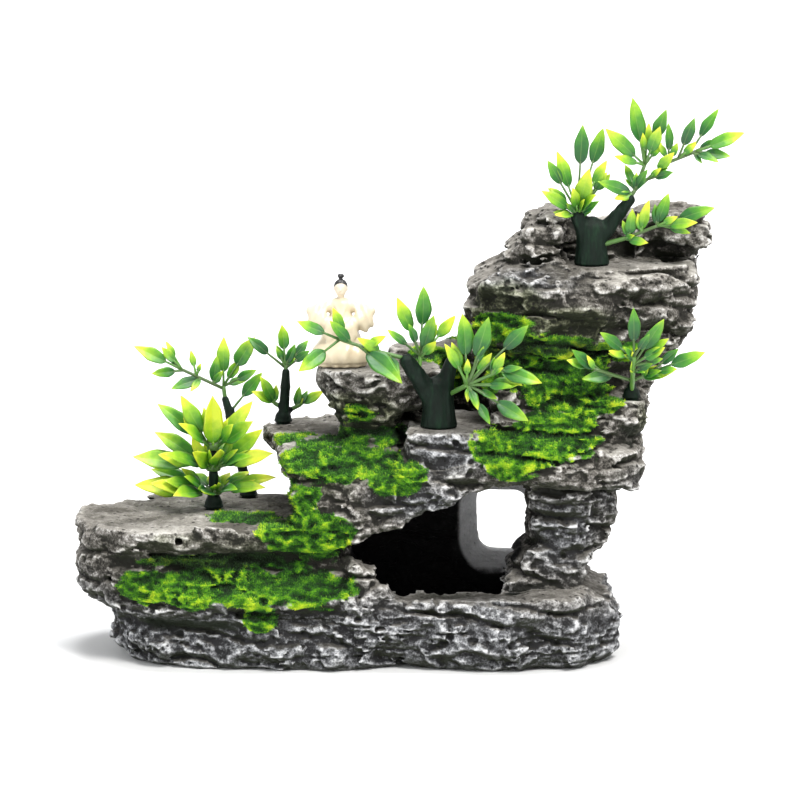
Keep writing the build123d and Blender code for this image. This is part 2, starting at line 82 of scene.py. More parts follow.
def noise(x, y, z):
    """Smooth value noise from -1 to 1 with one cell per unit."""
    cells, weights = [], []
    for axis in (x, y, z):
        low = np.floor(axis)
        part = axis - low
        weights.append(part * part * (3 - 2 * part))
        low = low.astype(np.int32)
        cells.append((low & (LATTICE - 1), (low + 1) & (LATTICE - 1)))
    wx, wy, wz = weights
    layers = []
    for k in (0, 1):
        rows = []
        for j in (0, 1):
            row = cells[2][k] * LATTICE * LATTICE + cells[1][j] * LATTICE
            near = LATTICE_VALUES[row + cells[0][0]]
            far = LATTICE_VALUES[row + cells[0][1]]
            rows.append(near + (far - near) * wx)
        layers.append(rows[0] + (rows[1] - rows[0]) * wy)
    return layers[0] + (layers[1] - layers[0]) * wz


def fbm(x, y, z, octaves, gain=0.5):
    """Noise with finer and weaker layers added."""
    total = noise(x, y, z)
    strength = 1.0
    for octave in range(1, octaves):
        strength *= gain
        step = 2.03**octave
        total = total + strength * noise(x * step + 7.3 * octave, y * step + 3.1 * octave, z * step)
    return total


def ridged(x, y, z, octaves, gain=0.55):
    """Sharp crests, from about -1 in the hollows to 1 on the crests."""
    total = 0.0
    strength = 1.0
    full = 0.0
    for octave in range(octaves):
        step = 2.1**octave
        crest = 1 - np.abs(noise(x * step + 5.7 * octave, y * step, z * step + 9.2 * octave)) * 2
        total = total + strength * crest
        full += strength
        strength *= gain
    return total / full


def chips(x, y, z):
    """Broken blocks: a height for each cell of a jittered grid, and the gap to the next cell."""
    base = [np.floor(axis).astype(np.int32) for axis in (x, y, z)]
    nearest = np.full(x.shape, 9.0, np.float32)
    second = nearest.copy()
    height = np.zeros(x.shape, np.float32)
    mask = LATTICE - 1
    for i in (-1, 0, 1):
        for j in (-1, 0, 1):
            for k in (-1, 0, 1):
                cx, cy, cz = base[0] + i, base[1] + j, base[2] + k
                slot = ((cz & mask) * LATTICE + (cy & mask)) * LATTICE + (cx & mask)
                jitter = LATTICE_VALUES[slot] * 0.5
                away = (
                    (cx + 0.5 + jitter - x) ** 2
                    + (cy + 0.5 + LATTICE_VALUES[slot ^ 21] * 0.5 - y) ** 2
                    + (cz + 0.5 + LATTICE_VALUES[slot ^ 42] * 0.5 - z) ** 2
                )
                closer = away < nearest
                second = np.where(closer, nearest, np.minimum(second, away))
                height = np.where(closer, LATTICE_VALUES[slot ^ 7], height)
                nearest = np.where(closer, away, nearest)
    return height, np.sqrt(second) - np.sqrt(nearest)


# --- Meshes -------------------------------------------------------------------------------------
def mesh_object(name, points, faces, smooth_shading=True):
    """An object from points in millimetres and arrays of faces, one array for each face size."""
    mesh = bpy.data.meshes.new(name)
    faces = [np.asarray(group) for group in faces if len(group)]
    loops = np.concatenate([group.ravel() for group in faces]).astype(np.int32)
    sizes = np.concatenate([np.full(len(group), group.shape[1]) for group in faces])
    starts = np.concatenate([[0], np.cumsum(sizes)[:-1]]).astype(np.int32)
    mesh.vertices.add(len(points))
    mesh.vertices.foreach_set("co", (np.asarray(points, np.float32) * MM).ravel())
    mesh.loops.add(len(loops))
    mesh.loops.foreach_set("vertex_index", loops)
    mesh.polygons.add(len(sizes))
    mesh.polygons.foreach_set("loop_start", starts)
    mesh.update(calc_edges=True)
    mesh.validate()
    if smooth_shading:
        mesh.polygons.foreach_set("use_smooth", np.ones(len(mesh.polygons), bool))
    thing = bpy.data.objects.new(name, mesh)
    bpy.context.scene.collection.objects.link(thing)
    return thing


def put_attribute(thing, name, values):
    layer = thing.data.attributes.new(name, "FLOAT", "POINT")
    layer.data.foreach_set("value", np.asarray(values, np.float32))


def read(items, key, width, kind=np.float32):
    """One property of every item of a Blender list, a row for each."""
    values = np.empty(len(items) * width, kind)
    items.foreach_get(key, values)
    return values.reshape(-1, width)


def mesh_arrays(thing):
    """Points in millimetres and triangles of an object."""
    mesh = thing.data
    mesh.calc_loop_triangles()
    triangles = read(mesh.loop_triangles, "vertices", 3, np.int32).astype(np.uint32)
    return read(mesh.vertices, "co", 3) / MM, triangles


def neighbour_mean(values, edges):
    """Each point's mean over the points joined to it."""
    count = len(values)
    total = np.zeros_like(values)
    number = np.bincount(edges.ravel(), minlength=count).astype(np.float32)
    for column in range(values.shape[1]):
        total[:, column] = np.bincount(edges[:, 0], values[edges[:, 1], column], count)
        total[:, column] += np.bincount(edges[:, 1], values[edges[:, 0], column], count)
    return total / np.maximum(number, 1)[:, None]


class Field:
    """A dense block of distances in millimetres, negative inside a shape."""

    def __init__(self, low, high, voxel):
        self.low = np.asarray(low, np.float32)
        self.voxel = voxel
        self.shape = tuple(np.ceil((np.asarray(high) - self.low) / voxel).astype(int) + 1)

    def axes(self):
        return [self.low[k] + self.voxel * np.arange(self.shape[k], dtype=np.float32) for k in range(3)]

    def places(self):
        """Coordinates that broadcast over the whole block."""
        x, y, z = self.axes()
        return x[:, None, None], y[None, :, None], z[None, None, :]

    def from_faces(self, points, triangles, quads, band):
        """Distances to a closed surface, right up to band away from it."""
        grid = openvdb.FloatGrid.createLevelSetFromPolygons(
            points - self.low,
            triangles=triangles,
            quads=quads,
            transform=openvdb.createLinearTransform(voxelSize=self.voxel),
            halfWidth=band / self.voxel,
        )
        values = np.empty(self.shape, np.float32)
        grid.copyToArray(values)
        return values

    def from_mesh(self, thing, band):
        points, triangles = mesh_arrays(thing)
        return self.from_faces(points, triangles, np.empty((0, 4), np.uint32), band)

    def surface(self, values):
        """Points and faces where the distance is zero."""
        limit = 3 * self.voxel
        grid = openvdb.FloatGrid(limit)
        grid.copyFromArray(np.ascontiguousarray(np.clip(values, -limit, limit), np.float32))
        grid.transform = openvdb.createLinearTransform(voxelSize=self.voxel)
        points, triangles, quads = grid.convertToPolygons(isovalue=0.0, adaptivity=0.0)
        return points + self.low, [quads, triangles]


def soften(values, rounds):
    """Rounds edges by averaging with the neighbours along each axis."""
    for _ in range(rounds):
        for axis in range(3):
            moved = np.moveaxis(values, axis, 0)
            moved[1:-1] = 0.25 * moved[:-2] + 0.5 * moved[1:-1] + 0.25 * moved[2:]
    return values


# --- Rock ---------------------------------------------------------------------------------------
VOXEL = 0.7
BAND = 8.4
SOFTENING = 5  # rounds of averaging that round the CAD model's edges
PITS = 420
REACH = 3.4  # the most that the relief may move the surface
SWELL_REACH = 4.2  # the most that the listed bulges and hollows add to it
SWELL_GAIN = 1.35
WELD = 0.3  # gaps narrower than twice this are closed where stones bed on each other
OVERLAP = 0.2  # how far each stone's piece reaches into its neighbours, to hide the joint
LOOK_OUT = 2.0  # how far outside the surface its surroundings are judged
CROWD_REACH = 6  # cells on each side over which the surroundings are judged
WIDE_ROUNDS = 7  # rounds of averaging against which the broader crests and hollows stand out
WINDOW_BACK = 27.0  # how far back the window's bevel reaches
ROCK = Field((-100.1, -46.9, -3.5), (121.1, 44.8, 152.0), VOXEL)

# Moss: centre, radii and strength of each patch.
MOSS = [
    ((-48, -36, 28), (38, 12, 9), 1.3),
    ((-16, -36, 28), (18, 12, 9), 1.1),
    ((-40, -30, 35), (38, 8, 4), 0.8),
    ((-18, -30, 44), (20, 14, 11), 1.2),
    ((-22, -24, 55), (13, 16, 10), 1.0),
    ((-6, -26, 67), (25, 16, 8), 1.25),
    ((10, -33, 64), (14, 8, 7), 1.0),
    ((50, -32, 74), (16, 14, 12), 1.25),
    ((64, -30, 78), (22, 14, 12), 1.2),
    ((72, -22, 92), (28, 18, 12), 1.25),
    ((52, -18, 97), (24, 14, 10), 1.2),
    ((78, -12, 101), (22, 12, 6), 0.9),
    ((47, -16, 110), (17, 14, 6), 0.85),
    ((64, -20, 104), (18, 12, 5), 0.8),
    ((26, 14, 92), (14, 10, 12), 0.8),
    ((42, -32, 76), (6, 8, 6), 1.0),
    ((-38, -14, 46), (16, 14, 4), 0.6),
    ((-20, -24, 46), (18, 12, 4), 0.8),
    ((-24, -8, 72), (14, 12, 3), 0.45),
    ((-8, -14, 73), (18, 12, 4), 0.95),
    ((-33, -40, 18), (8, 8, 6), 1.0),
    ((4, -4, 74), (14, 20, 6), 0.7),
    ((0, -10, 82), (14, 10, 5), 0.7),
    ((30, 34, 90), (34, 8, 14), 0.6),
    ((-40, 32, 34), (34, 8, 10), 0.8),
    ((80, 28, 70), (12, 10, 16), 0.5),
]

# Where the stone is paler and cooler than elsewhere.
PALE = [
    ((28, -31, 72), (20, 14, 12), 1.0),
    ((20, -34, 56), (22, 10, 9), 0.9),
    ((84, -24, 56), (14, 12, 14), 0.6),
    ((52, -16, 127), (26, 14, 8), 0.8),
    ((66, -26, 44), (20, 16, 22), 0.9),
]

# Faces with a thin green-brown wash, painted darker than the stone, partly as painted shade under the
# overhangs: centre, radii and strength.
OLIVE_WASH_AND_SHADE = [
    ((44, -18, 119), (20, 14, 10), 1.4),
    ((66, -20, 112), (22, 14, 9), 1.4),
    ((0, -12, 82), (19, 14, 11), 1.2),
    ((-12, -26, 64), (26, 18, 10), 0.8),
    ((-50, -30, 42), (40, 14, 8), 0.6),
    ((96, -18, 80), (12, 14, 12), 0.7),
]

# Recesses that stay in deep shade: centre, radii and strength.
SHADE = [
    ((-46, -30, 36), (46, 8, 4), 1.1),
    ((58, -14, 104), (34, 12, 5), 1.1),
    ((-2, -10, 79), (14, 10, 6), 0.9),
    ((-62, -36, 15), (28, 10, 3.5), 1.0),
    ((-26, -20, 50), (8, 10, 7), 0.9),
    ((48, -28, 66), (10, 8, 5), 0.7),
    ((100, 2, 133), (12, 8, 6), 1.0),
    ((26, -27, 24), (38, 8, 4), 0.55),
    ((88, -20, 76), (6, 10, 10), 0.5),
]

# Bulges and hollows: centre, radii and how far the surface moves out.
SWELLS = [
    ((-50, -37, 24), (34, 12, 7), 1.6),
    ((-52, -40, 37), (36, 8, 3.2), -3.0),
    ((-18, -38, 24), (12, 10, 6), 1.4),
    ((-66, -36, 15), (22, 10, 3), -2.2),
    ((-12, -42, 17), (12, 8, 6), -3.2),
    ((-30, -41, 10), (14, 8, 7), 1.5),
    ((0, -42, 22), (7, 8, 5), 1.8),
    ((24, -42, 12), (12, 7, 8), 1.6),
    ((12, -42, 5), (7, 8, 5), -2.4),
    ((44, -44, 10), (9, 8, 9), 1.8),
    ((58, -42, 6), (8, 8, 6), -2.0),
    ((72, -34, 12), (10, 9, 7), 1.4),
    ((64, -27, 25), (16, 10, 4), 1.6),
    ((20, -28, 25), (26, 7, 4), -2.2),
    ((-74, -30, 10), (12, 10, 6), 1.6),
    ((-52, -38, 6), (10, 8, 6), -1.6),
    ((38, -34, 68), (10, 8, 4), 1.2),
    ((-58, -34, 44), (18, 8, 3), 1.0),
    ((-12, -34, 62), (20, 8, 4), -1.8),
    ((26, -34, 64), (14, 8, 3), 1.2),
    ((70, -34, 62), (12, 9, 7), 1.5),
    ((86, -24, 58), (8, 12, 8), 1.2),
    ((68, -26, 44), (14, 10, 9), -1.8),
    ((44, -20, 112), (10, 10, 4), -2.2),
    ((70, -22, 110), (16, 8, 4), -1.8),
    ((60, -20, 122), (14, 10, 4), 1.4),
    ((98, -10, 124), (12, 10, 4), 1.2),
    ((-4, -12, 84), (10, 8, 3), -1.5),
]


# Holes and arches cut into the rock: centre and radii.
HOLLOWS = [
    ((13, -46, -1.5), (17, 15, 5.5)),
    ((60, -47, -1.5), (12, 14, 5.0)),
    ((-36, -46, -2), (15, 13, 5.0)),
    ((-60, -33.5, 42.5), (1.9, 2.4, 1.3)),
    ((-82, -27, 29), (1.1, 2.0, 1.1)),
    ((-32, -40.5, 24), (1.6, 2.6, 1.6)),
    ((29, -42, 12.5), (1.5, 2.4, 1.5)),
    ((54, -43, 14.5), (1.3, 2.2, 1.3)),
    ((70, -38, 19), (1.2, 2.2, 1.2)),
    ((-1, -41, 18), (1.4, 2.4, 1.1)),
    ((24, -33, 75), (1.0, 1.8, 1.0)),
    ((31, -32, 75), (1.2, 1.8, 1.2)),
    ((37, -31, 75), (1.0, 1.8, 1.0)),
    ((40, -19, 122), (1.7, 2.4, 1.5)),
    ((-20, -35, 60), (1.3, 2.2, 1.3)),
    # Room for the centre stump's arm and a leaf of the front bush as they are pulled out.
    ((23.5, -14.0, 90.5), (3.9, 4.2, 8.0)),
    ((-28.6, 4.5, 66.0), (2.3, 2.6, 2.3)),
]


def square_away(x, y, z, centre, radii):
    """The square of the distance from a centre, with each radius as the unit along its axis."""
    return sum(((p - c) / r) ** 2 for p, c, r in zip((x, y, z), centre, radii))


def patches(entries, x, y, z):
    """The strongest of the patches at each point, fading to nothing at its edge."""
    most = np.zeros_like(x)
    for centre, radii, strength in entries:
        away = np.sqrt(square_away(x, y, z, centre, radii))
        most = np.maximum(most, strength * np.clip(1 - away, 0, 1) * 1.6)
    return most


def swells(x, y, z):
    total = np.zeros_like(x)
    for centre, radii, amount in SWELLS:
        total += SWELL_GAIN * amount * np.exp(-1.4 * square_away(x, y, z, centre, radii))
    return total


def moss_amount(x, y, z):
    """How mossy the rock is at a point, from 0 to 1."""
    near = patches(MOSS, x, y, z)
    rough = fbm(x / 8, y / 8, z / 4.5, 4, 0.6)
    return smooth(0.08, 0.58, near + 0.42 * rough) * smooth(0.0, 0.15, near)


def near_feet(x, y, z):
    """1 beside a plant's or the figurine's foot and 0 further off, to keep the rock flat there."""
    most = np.zeros_like(x)
    for name, (fx, fy, fz) in dict(PLANT_ROOTS, figurine=FIGURINE_FOOT).items():
        radius = FOOT_RADII.get(name, SMALL_FOOT)
        away = np.sqrt((x - fx) ** 2 + (y - fy) ** 2 + (0.7 * (z - fz)) ** 2)
        most = np.maximum(most, 1 - smooth(radius, radius + 3.5, away))
    return most


def strata(x, y, z):
    """Broken layers of uneven thickness, with dark seams between some of them."""
    height = z + 0.05 * x + 3.2 * noise(x / 34, y / 34, z / 21) + 1.1 * noise(x / 9 + 3, y / 9, z / 6)
    band = height / 4.3 + 0.9 * noise(x * 0 + 0.3, y * 0 + 0.7, height / 6.5)
    layer = np.floor(band)
    part = band - layer
    step = noise(layer * 1.7 + 0.5, layer * 0.3, x / 40 + 0.5)
    jag = fbm(x / 8 + layer * 5.1, y / 8, layer * 3.3, 3)
    seam = np.exp(-((np.minimum(part, 1 - part) / 0.12) ** 2))
    open_seam = smooth(-0.35, 0.5, noise(x / 13 + layer * 2.3, y / 13, layer * 1.9))
    leaves = np.abs((height / 1.9) % 1 - 0.5) * 2
    pillar = smooth(46, 54, x) * smooth(84, 78, x) * smooth(62, 56, z)
    thin = np.clip(smooth(0.1, 0.5, noise(x / 25 + 3, y / 25, z / 18)) + pillar, 0, 1)
    layers = 0.8 * step + 0.7 * jag + 0.5 * (part - 0.5)
    return layers - 1.0 * seam * open_seam + 0.8 * thin * (leaves - 0.5)


def ledges(x, y, z):
    """Thick uneven beds, each of which juts out over the one below it in places."""
    height = z + 0.09 * x + 6.0 * noise(x / 33 + 5, y / 33, z / 24)
    height = height + 2.4 * noise(x / 11, y / 11 + 2, z / 8)
    band = height / 9.0 + 0.5 * noise(height / 14, x * 0 + 0.6, y * 0 + 0.2)
    bed = np.floor(band)
    part = band - bed
    jut = noise(bed * 2.1 + 0.4, bed * 0.7, x / 24 + bed)
    brow = smooth(0.0, 0.35, part) - 0.45 * smooth(0.65, 1.0, part)
    pillar = smooth(48, 56, x) * smooth(24, 30, z) * smooth(64, 58, z)
    broken = smooth(-0.35, 0.45, noise(x / 17 + bed * 3.7, y / 17, bed * 1.3))
    return 1.6 * jut + (2.4 * brow - 1.5) * np.maximum(0.15 + 0.85 * broken, 0.9 * pillar)


def facets(x, y, z, warp):
    """Large dished facets: 0 on the crusty rims between them and 1 in their middles."""
    _, gap = chips((x + 2 * warp) / 14.0, (y + warp) / 14.0, (z + warp) / 9.0)
    return smooth(0.04, 0.5, gap)


def near_window(x, y, z):
    """1 round the rear window, where the casting is smooth, and 0 further off."""
    return smooth(1.2, 0.85, np.sqrt(square_away(x, y, z, (47, 24, 38), (15, 12, 17))))


def relief(x, y, z, up):
    """How far the rock stands out at a point. up is the z part of its normal."""
    side = 1 - smooth(0.72, 0.96, np.abs(up))
    warp = 2.2 * fbm(x / 7, y / 7 + 5, z / 7, 2)
    block, gap = chips((x + warp) / 6.5, (y + warp) / 6.5, (z + 0.6 * warp) / 3.4)
    crack = np.exp(-((gap / 0.16) ** 2))
    dish = facets(x, y, z, warp)
    moss = moss_amount(x, y, z)
    swell = 1.3 * fbm(x / 21 + 3, y / 21, z / 15, 2) + 0.5 - 1.5 * dish * (1 - 0.6 * moss)
    swell = swell + ledges(x, y, z)
    rough = (0.5 + 0.5 * smooth(-0.5, 0.4, noise(x / 15, y / 15 + 9, z / 11))) * (1.1 - 0.5 * dish)
    lumps = 0.9 * fbm((x + warp) / 4.4, y / 4.4, (z + warp) / 3.3, 4, 0.62)
    lumps = lumps - 0.7 * smooth(0.3, 0.7, noise(x / 2.4 + 8, y / 2.4, z / 2.2))
    crests = 0.6 * ridged((x + warp) / 8.5, y / 8.5, z / 4.6, 4, 0.62) + lumps
    detail = 0.7 * strata(x, y, z) + 0.45 * block - 0.3 * crack + crests
    cushion = moss * (0.5 + 0.7 * fbm(x / 3.0, y / 3.0, z / 2.1, 3))
    flatter = 0.42 + 0.35 * smooth(112, 118, z)
    total = swell * (0.15 + 0.85 * side) + detail * rough * (flatter + (1 - flatter) * side)
    total = total - 0.3 + cushion
    total = np.clip(total, -REACH, REACH) + np.clip(swells(x, y, z), -SWELL_REACH, SWELL_REACH)
    total = total * (1 - 0.9 * near_window(x, y, z))
    flat = near_feet(x, y, z)
    total = total * (1 - flat) - 0.25 * flat
    return total * (0.2 + 0.8 * smooth(0.0, 3.0, z))


def carve(field, centre, radii):
    """Cuts a rounded hollow out of the rock."""
    place = (np.asarray(centre) - ROCK.low) / VOXEL
    reach = np.asarray(radii) / VOXEL
    low = np.maximum(np.floor(place - reach - 2).astype(int), 0)
    high = np.minimum(np.ceil(place + reach + 2).astype(int) + 1, ROCK.shape)
    axes = [(np.arange(a, b) - p) / r for a, b, p, r in zip(low, high, place, reach)]
    away = np.sqrt(
        axes[0][:, None, None] ** 2 + axes[1][None, :, None] ** 2 + axes[2][None, None, :] ** 2
    )
    block = tuple(slice(a, b) for a, b in zip(low, high))
    cut = ((1 - away) * min(radii)).astype(np.float32)
    field[block] = np.maximum(field[block], cut)


def carve_pits(field, positions, up, count):
    """Small round pits scattered over the sides, denser in some places."""
    rng = np.random.default_rng(5)
    x, y, z = positions.T
    weight = smooth(-0.1, 0.6, noise(x / 16, y / 16, z / 16 + 4)) * (1 - smooth(0.5, 0.8, np.abs(up)))
    weight = weight * (1 - 0.8 * moss_amount(x, y, z)) * (1 - near_feet(x, y, z))
    weight = weight * smooth(2, 4, z) + 1e-9
    chosen = rng.choice(len(x), count, replace=False, p=weight / weight.sum())
    for index in chosen:
        carve(field, positions[index], np.repeat(rng.uniform(0.5, 1.25), 3))


def open_sockets(field):
    """Round holes for the plants' pegs."""
    xs, ys, zs = ROCK.axes()
    for fx, fy, fz in PLANT_ROOTS.values():
        near_x = np.flatnonzero(np.abs(xs - fx) < SOCKET_RADIUS + 3)
        near_y = np.flatnonzero(np.abs(ys - fy) < SOCKET_RADIUS + 3)
        near_z = np.flatnonzero(np.abs(zs - fz) < SOCKET_DEPTH + 3)
        block = np.ix_(near_x, near_y, near_z)
        round_wall = np.hypot(xs[near_x][:, None] - fx, ys[near_y][None, :] - fy) - SOCKET_RADIUS
        below = fz - SOCKET_DEPTH - zs[near_z]
        hole = np.maximum(round_wall[:, :, None], below[None, None, :])
        field[block] = np.maximum(field[block], -hole)


def bevel_window(field):
    """Widens the window towards the cave, at its left and below, with rounded corners."""
    x, y, z = ROCK.places()
    depth = WINDOW_BACK - y
    left, right = 39.5 - 0.85 * depth, 56.5
    low, high = 27.5 - 0.4 * depth, 48.5
    corner = 5.0 + 0.3 * depth
    across = np.abs(x - (left + right) / 2) - ((right - left) / 2 - corner)
    upward = np.abs(z - (low + high) / 2) - ((high - low) / 2 - corner)
    cut = np.hypot(np.maximum(across, 0), np.maximum(upward, 0)) - corner
    cut = np.maximum(cut, np.maximum(-depth, 14.0 - y))
    np.maximum(field, -cut, out=field)


def join_stones(near):
    """Distances to all the stones as one body, without the faces where they bed on each other."""
    points, (quads, triangles) = ROCK.surface(near - WELD)
    whole = ROCK.from_faces(
        points.astype(np.float32),
        np.ascontiguousarray(triangles, np.uint32),
        np.ascontiguousarray(quads, np.uint32),
        BAND,
    )
    return whole + WELD


def box_mean(values, reach):
    """Averages over cubes of cells, by running sums along each axis."""
    width = 2 * reach + 1
    for axis in range(3):
        moved = np.moveaxis(values, axis, 0)
        ends = [np.repeat(moved[:1], reach + 1, axis=0), moved, np.repeat(moved[-1:], reach, axis=0)]
        sums = np.cumsum(np.concatenate(ends), axis=0, dtype=np.float32)
        values = np.moveaxis((sums[width:] - sums[:-width]) / width, 0, axis)
    return values


def sculpt_rock():
    """One continuous rock surface, cut into a closed piece for each stone."""
    fields = [ROCK.from_mesh(NODES[name], BAND) for name in STONES]
    near = fields[0].copy()
    second = np.full_like(near, BAND)
    owner = np.zeros(near.shape, np.int8)
    for number, field in enumerate(fields[1:], 1):
        closer = field < near
        second = np.where(closer, near, np.minimum(second, field))
        owner[closer] = number
        near = np.where(closer, field, near)
    whole = soften(join_stones(near), SOFTENING)
    up = np.zeros_like(whole)
    up[:, :, 1:-1] = np.clip((whole[:, :, 2:] - whole[:, :, :-2]) / (2 * VOXEL), -1, 1)

    flat = np.flatnonzero(np.abs(whole) < REACH + SWELL_REACH + VOXEL)
    cells = np.stack(np.unravel_index(flat, ROCK.shape), axis=1).astype(np.float32)
    positions = cells * VOXEL + ROCK.low
    x, y, z = positions.T
    slope = up.ravel()[flat]
    rock = whole.ravel()
    rock[flat] -= relief(x, y, z, slope)
    rock = rock.reshape(ROCK.shape)
    close = np.abs(rock.ravel()[flat]) < 0.5 * VOXEL
    carve_pits(rock, positions[close], slope[close], PITS)
    for centre, radii in HOLLOWS:
        carve(rock, centre, radii)
    open_sockets(rock)
    bevel_window(rock)

    # How much rock surrounds each cell, used to paint shade into the recesses.
    painted_shade_crowding = box_mean((rock < 0).astype(np.float32), CROWD_REACH)
    pieces = []
    for number, name in enumerate(STONES):
        others = np.where(owner == number, second, near)
        own = 0.5 * (fields[number] - others) - OVERLAP
        points, faces = ROCK.surface(np.maximum(rock, own))
        piece = mesh_object("rock_" + name, points, faces)
        dress_rock(piece, painted_shade_crowding)
        pieces.append((name, piece))
    return pieces


def shade_amount(x, y, z):
    return smooth(0.1, 0.9, patches(SHADE, x, y, z) + 0.25 * noise(x / 5, y / 5, z / 3))


def cave_painted_shade(x, y, z):
    """1 on the walls inside the cave, which are painted near-black as painted shade, and 0 outside it.
    """
    across = smooth(-4.8, -3.2, x) * smooth(55.8, 54.8, x)
    inside = across * smooth(-24, -15, y) * smooth(23.5, 21.5, y) * smooth(63.5, 62, z)
    inside = inside * (1 - smooth(53, 54, x) * smooth(30, 32, z))
    foot_slope = x - 46 - (z - 24) / 1.2
    inside = inside * (1 - smooth(-2.5, -1, foot_slope) * smooth(14, 12, y) * smooth(22.5, 24, z))
    return inside * (1 - window_rim(x, y, z))


def window_rim(x, y, z):
    """1 on the bevel round the rear window and 0 elsewhere."""
    away = np.hypot(np.maximum(np.abs(x - 48) - 3.5, 0), np.maximum(np.abs(z - 38) - 5.5, 0))
    return smooth(12.5, 11, away) * smooth(14.5, 16.5, y) * smooth(31, 29, y)


def dress_rock(piece, painted_shade_crowding):
    """Attributes for the paint: moss, crests and hollows, a broad mottling, and masks for painted shade
    and painted light.
    """
    points, _ = mesh_arrays(piece)
    x, y, z = points.T
    edges = read(piece.data.edges, "vertices", 2, np.int32)
    normals = read(piece.data.vertices, "normal", 3)
    fine = ((points - neighbour_mean(points, edges)) * normals).sum(1)
    wide = points
    for _ in range(WIDE_ROUNDS):
        wide = neighbour_mean(wide, edges)
    broad = ((points - wide) * normals).sum(1)
    ahead = points + LOOK_OUT * normals
    cells = np.clip(np.round((ahead - ROCK.low) / VOXEL).astype(int), 0, np.array(ROCK.shape) - 1)
    closed = painted_shade_crowding[tuple(cells.T)]
    olive_and_shade_patches = patches(OLIVE_WASH_AND_SHADE, x, y, z) + 0.35 * noise(x / 6, y / 6, z / 4 + 9)
    low_down = smooth(34, 16, z + 6 * noise(x / 20, y / 20, z / 20))
    for key, values in (
        # crest: pale dry-brush on convex rock; its closed term also darkens the recesses, as painted
        # shade.
        ("crest", np.clip(0.5 + 0.5 * fine + 0.5 * broad + 0.9 * (0.24 - closed), 0, 1)),
        # closed: how shut in a point is, painted near-black as painted shade in the recesses.
        ("closed", smooth(0.36, 0.72, closed)),
        # rim: the window's bevel, painted pale grey, partly as painted light.
        ("rim", window_rim(x, y, z)),
        ("moss", moss_amount(x, y, z)),
        ("mottle", 0.5 + 0.5 * fbm(x / 14, y / 14, z / 9, 3)),
        # cave: the walls inside the cave, painted near-black as painted shade.
        ("cave", cave_painted_shade(x, y, z)),
        ("shade", shade_amount(x, y, z)),
        # olive: a green-brown wash, painted dark partly as painted shade.
        ("olive_wash_and_painted_shade", smooth(0.1, 0.9, olive_and_shade_patches)),
        ("cool", np.clip(np.maximum(low_down, patches(PALE, x, y, z)), 0, 1)),
    ):
        put_attribute(piece, key, values)


# --- Moss tufts ---------------------------------------------------------------------------------
TUFTS_PER_PIECE = 26000
TUFTS_PER_AREA = 5.0  # on each square millimetre of full moss
FEWEST_TUFTS = 50
TUFT_ROOT = 0.25  # how deep each fibre stands in the rock
FOOT_MARGIN = 0.8  # how far fibres stay clear of the plants' feet


def tuft_spikes(foot, out, length, width, rng):
    """A closed three-sided spike for each fibre, four points each."""
    side = np.cross(out, rng.normal(0, 1, foot.shape))
    side /= np.linalg.norm(side, axis=1)[:, None]
    other = np.cross(out, side)
    base = [
        foot + width[:, None] * (math.cos(turn) * side + math.sin(turn) * other)
        for turn in (0.0, 2.094, 4.189)
    ]
    vertices = np.stack([*base, foot + out * length[:, None]], axis=1).reshape(-1, 3)
    start = 4 * np.arange(len(foot))[:, None]
    corners = ((0, 2, 1), (0, 1, 3), (1, 2, 3), (2, 0, 3))
    return vertices, np.concatenate([start + np.array(face) for face in corners])


def moss_tufts(pieces):
    """Short flock fibres standing on the mossy rock, as tiny closed spikes."""
    rng = np.random.default_rng(8)
    made = []
    for name, piece in pieces:
        points, triangles = mesh_arrays(piece)
        corners = points[triangles]
        cross = np.cross(corners[:, 1] - corners[:, 0], corners[:, 2] - corners[:, 0])
        area = 0.5 * np.linalg.norm(cross, axis=1)
        middle = corners.mean(1)
        normal = cross / np.maximum(2 * area, 1e-9)[:, None]
        amount = moss_amount(*middle.T)
        crest, closed = (
            read(piece.data.attributes[key].data, "value", 1)[triangles, 0].mean(1)
            for key in ("crest", "closed")
        )
        weight = area * smooth(0.3, 0.8, amount) * smooth(-0.85, -0.3, normal[:, 2])
        for plant, (x, y, _) in PLANT_ROOTS.items():
            bare = FOOT_RADII.get(plant, SMALL_FOOT) + FOOT_MARGIN
            weight[np.hypot(middle[:, 0] - x, middle[:, 1] - y) < bare] = 0
        weight *= 1 - near_feet(*middle.T)
        total = weight.sum()
        count = int(min(TUFTS_PER_PIECE, total * TUFTS_PER_AREA))
        if count < FEWEST_TUFTS:
            continue
        chosen = rng.choice(len(area), count, p=weight / total)
        mix = rng.dirichlet((1, 1, 1), count).astype(np.float32)
        foot = (corners[chosen] * mix[:, :, None]).sum(1)
        out = normal[chosen] + rng.normal(0, 0.45, (count, 3)) + (0, -0.1, 0.25)
        out /= np.linalg.norm(out, axis=1)[:, None]
        length = rng.uniform(0.45, 1.15, count) * (0.6 + 0.5 * amount[chosen])
        width = rng.uniform(0.14, 0.26, count)
        foot = foot - TUFT_ROOT * normal[chosen]
        vertices, faces = tuft_spikes(foot, out, length + TUFT_ROOT, width, rng)
        tufts = mesh_object("moss_on_" + name, vertices, [faces], smooth_shading=False)
        put_attribute(tufts, "tip", np.tile([0, 0, 0, 1], count))
        for key, values in (
            ("tone", rng.uniform(0, 1, count)),
            ("crest", crest[chosen]),
            ("thin", 1 - amount[chosen]),
            # The fibres' shade also takes in how shut in their rock is: painted shade.
            ("shade", np.maximum(shade_amount(*foot.T), closed[chosen])),
        ):
            put_attribute(tufts, key, np.repeat(values, 4))
        made.append(tufts)
    return made


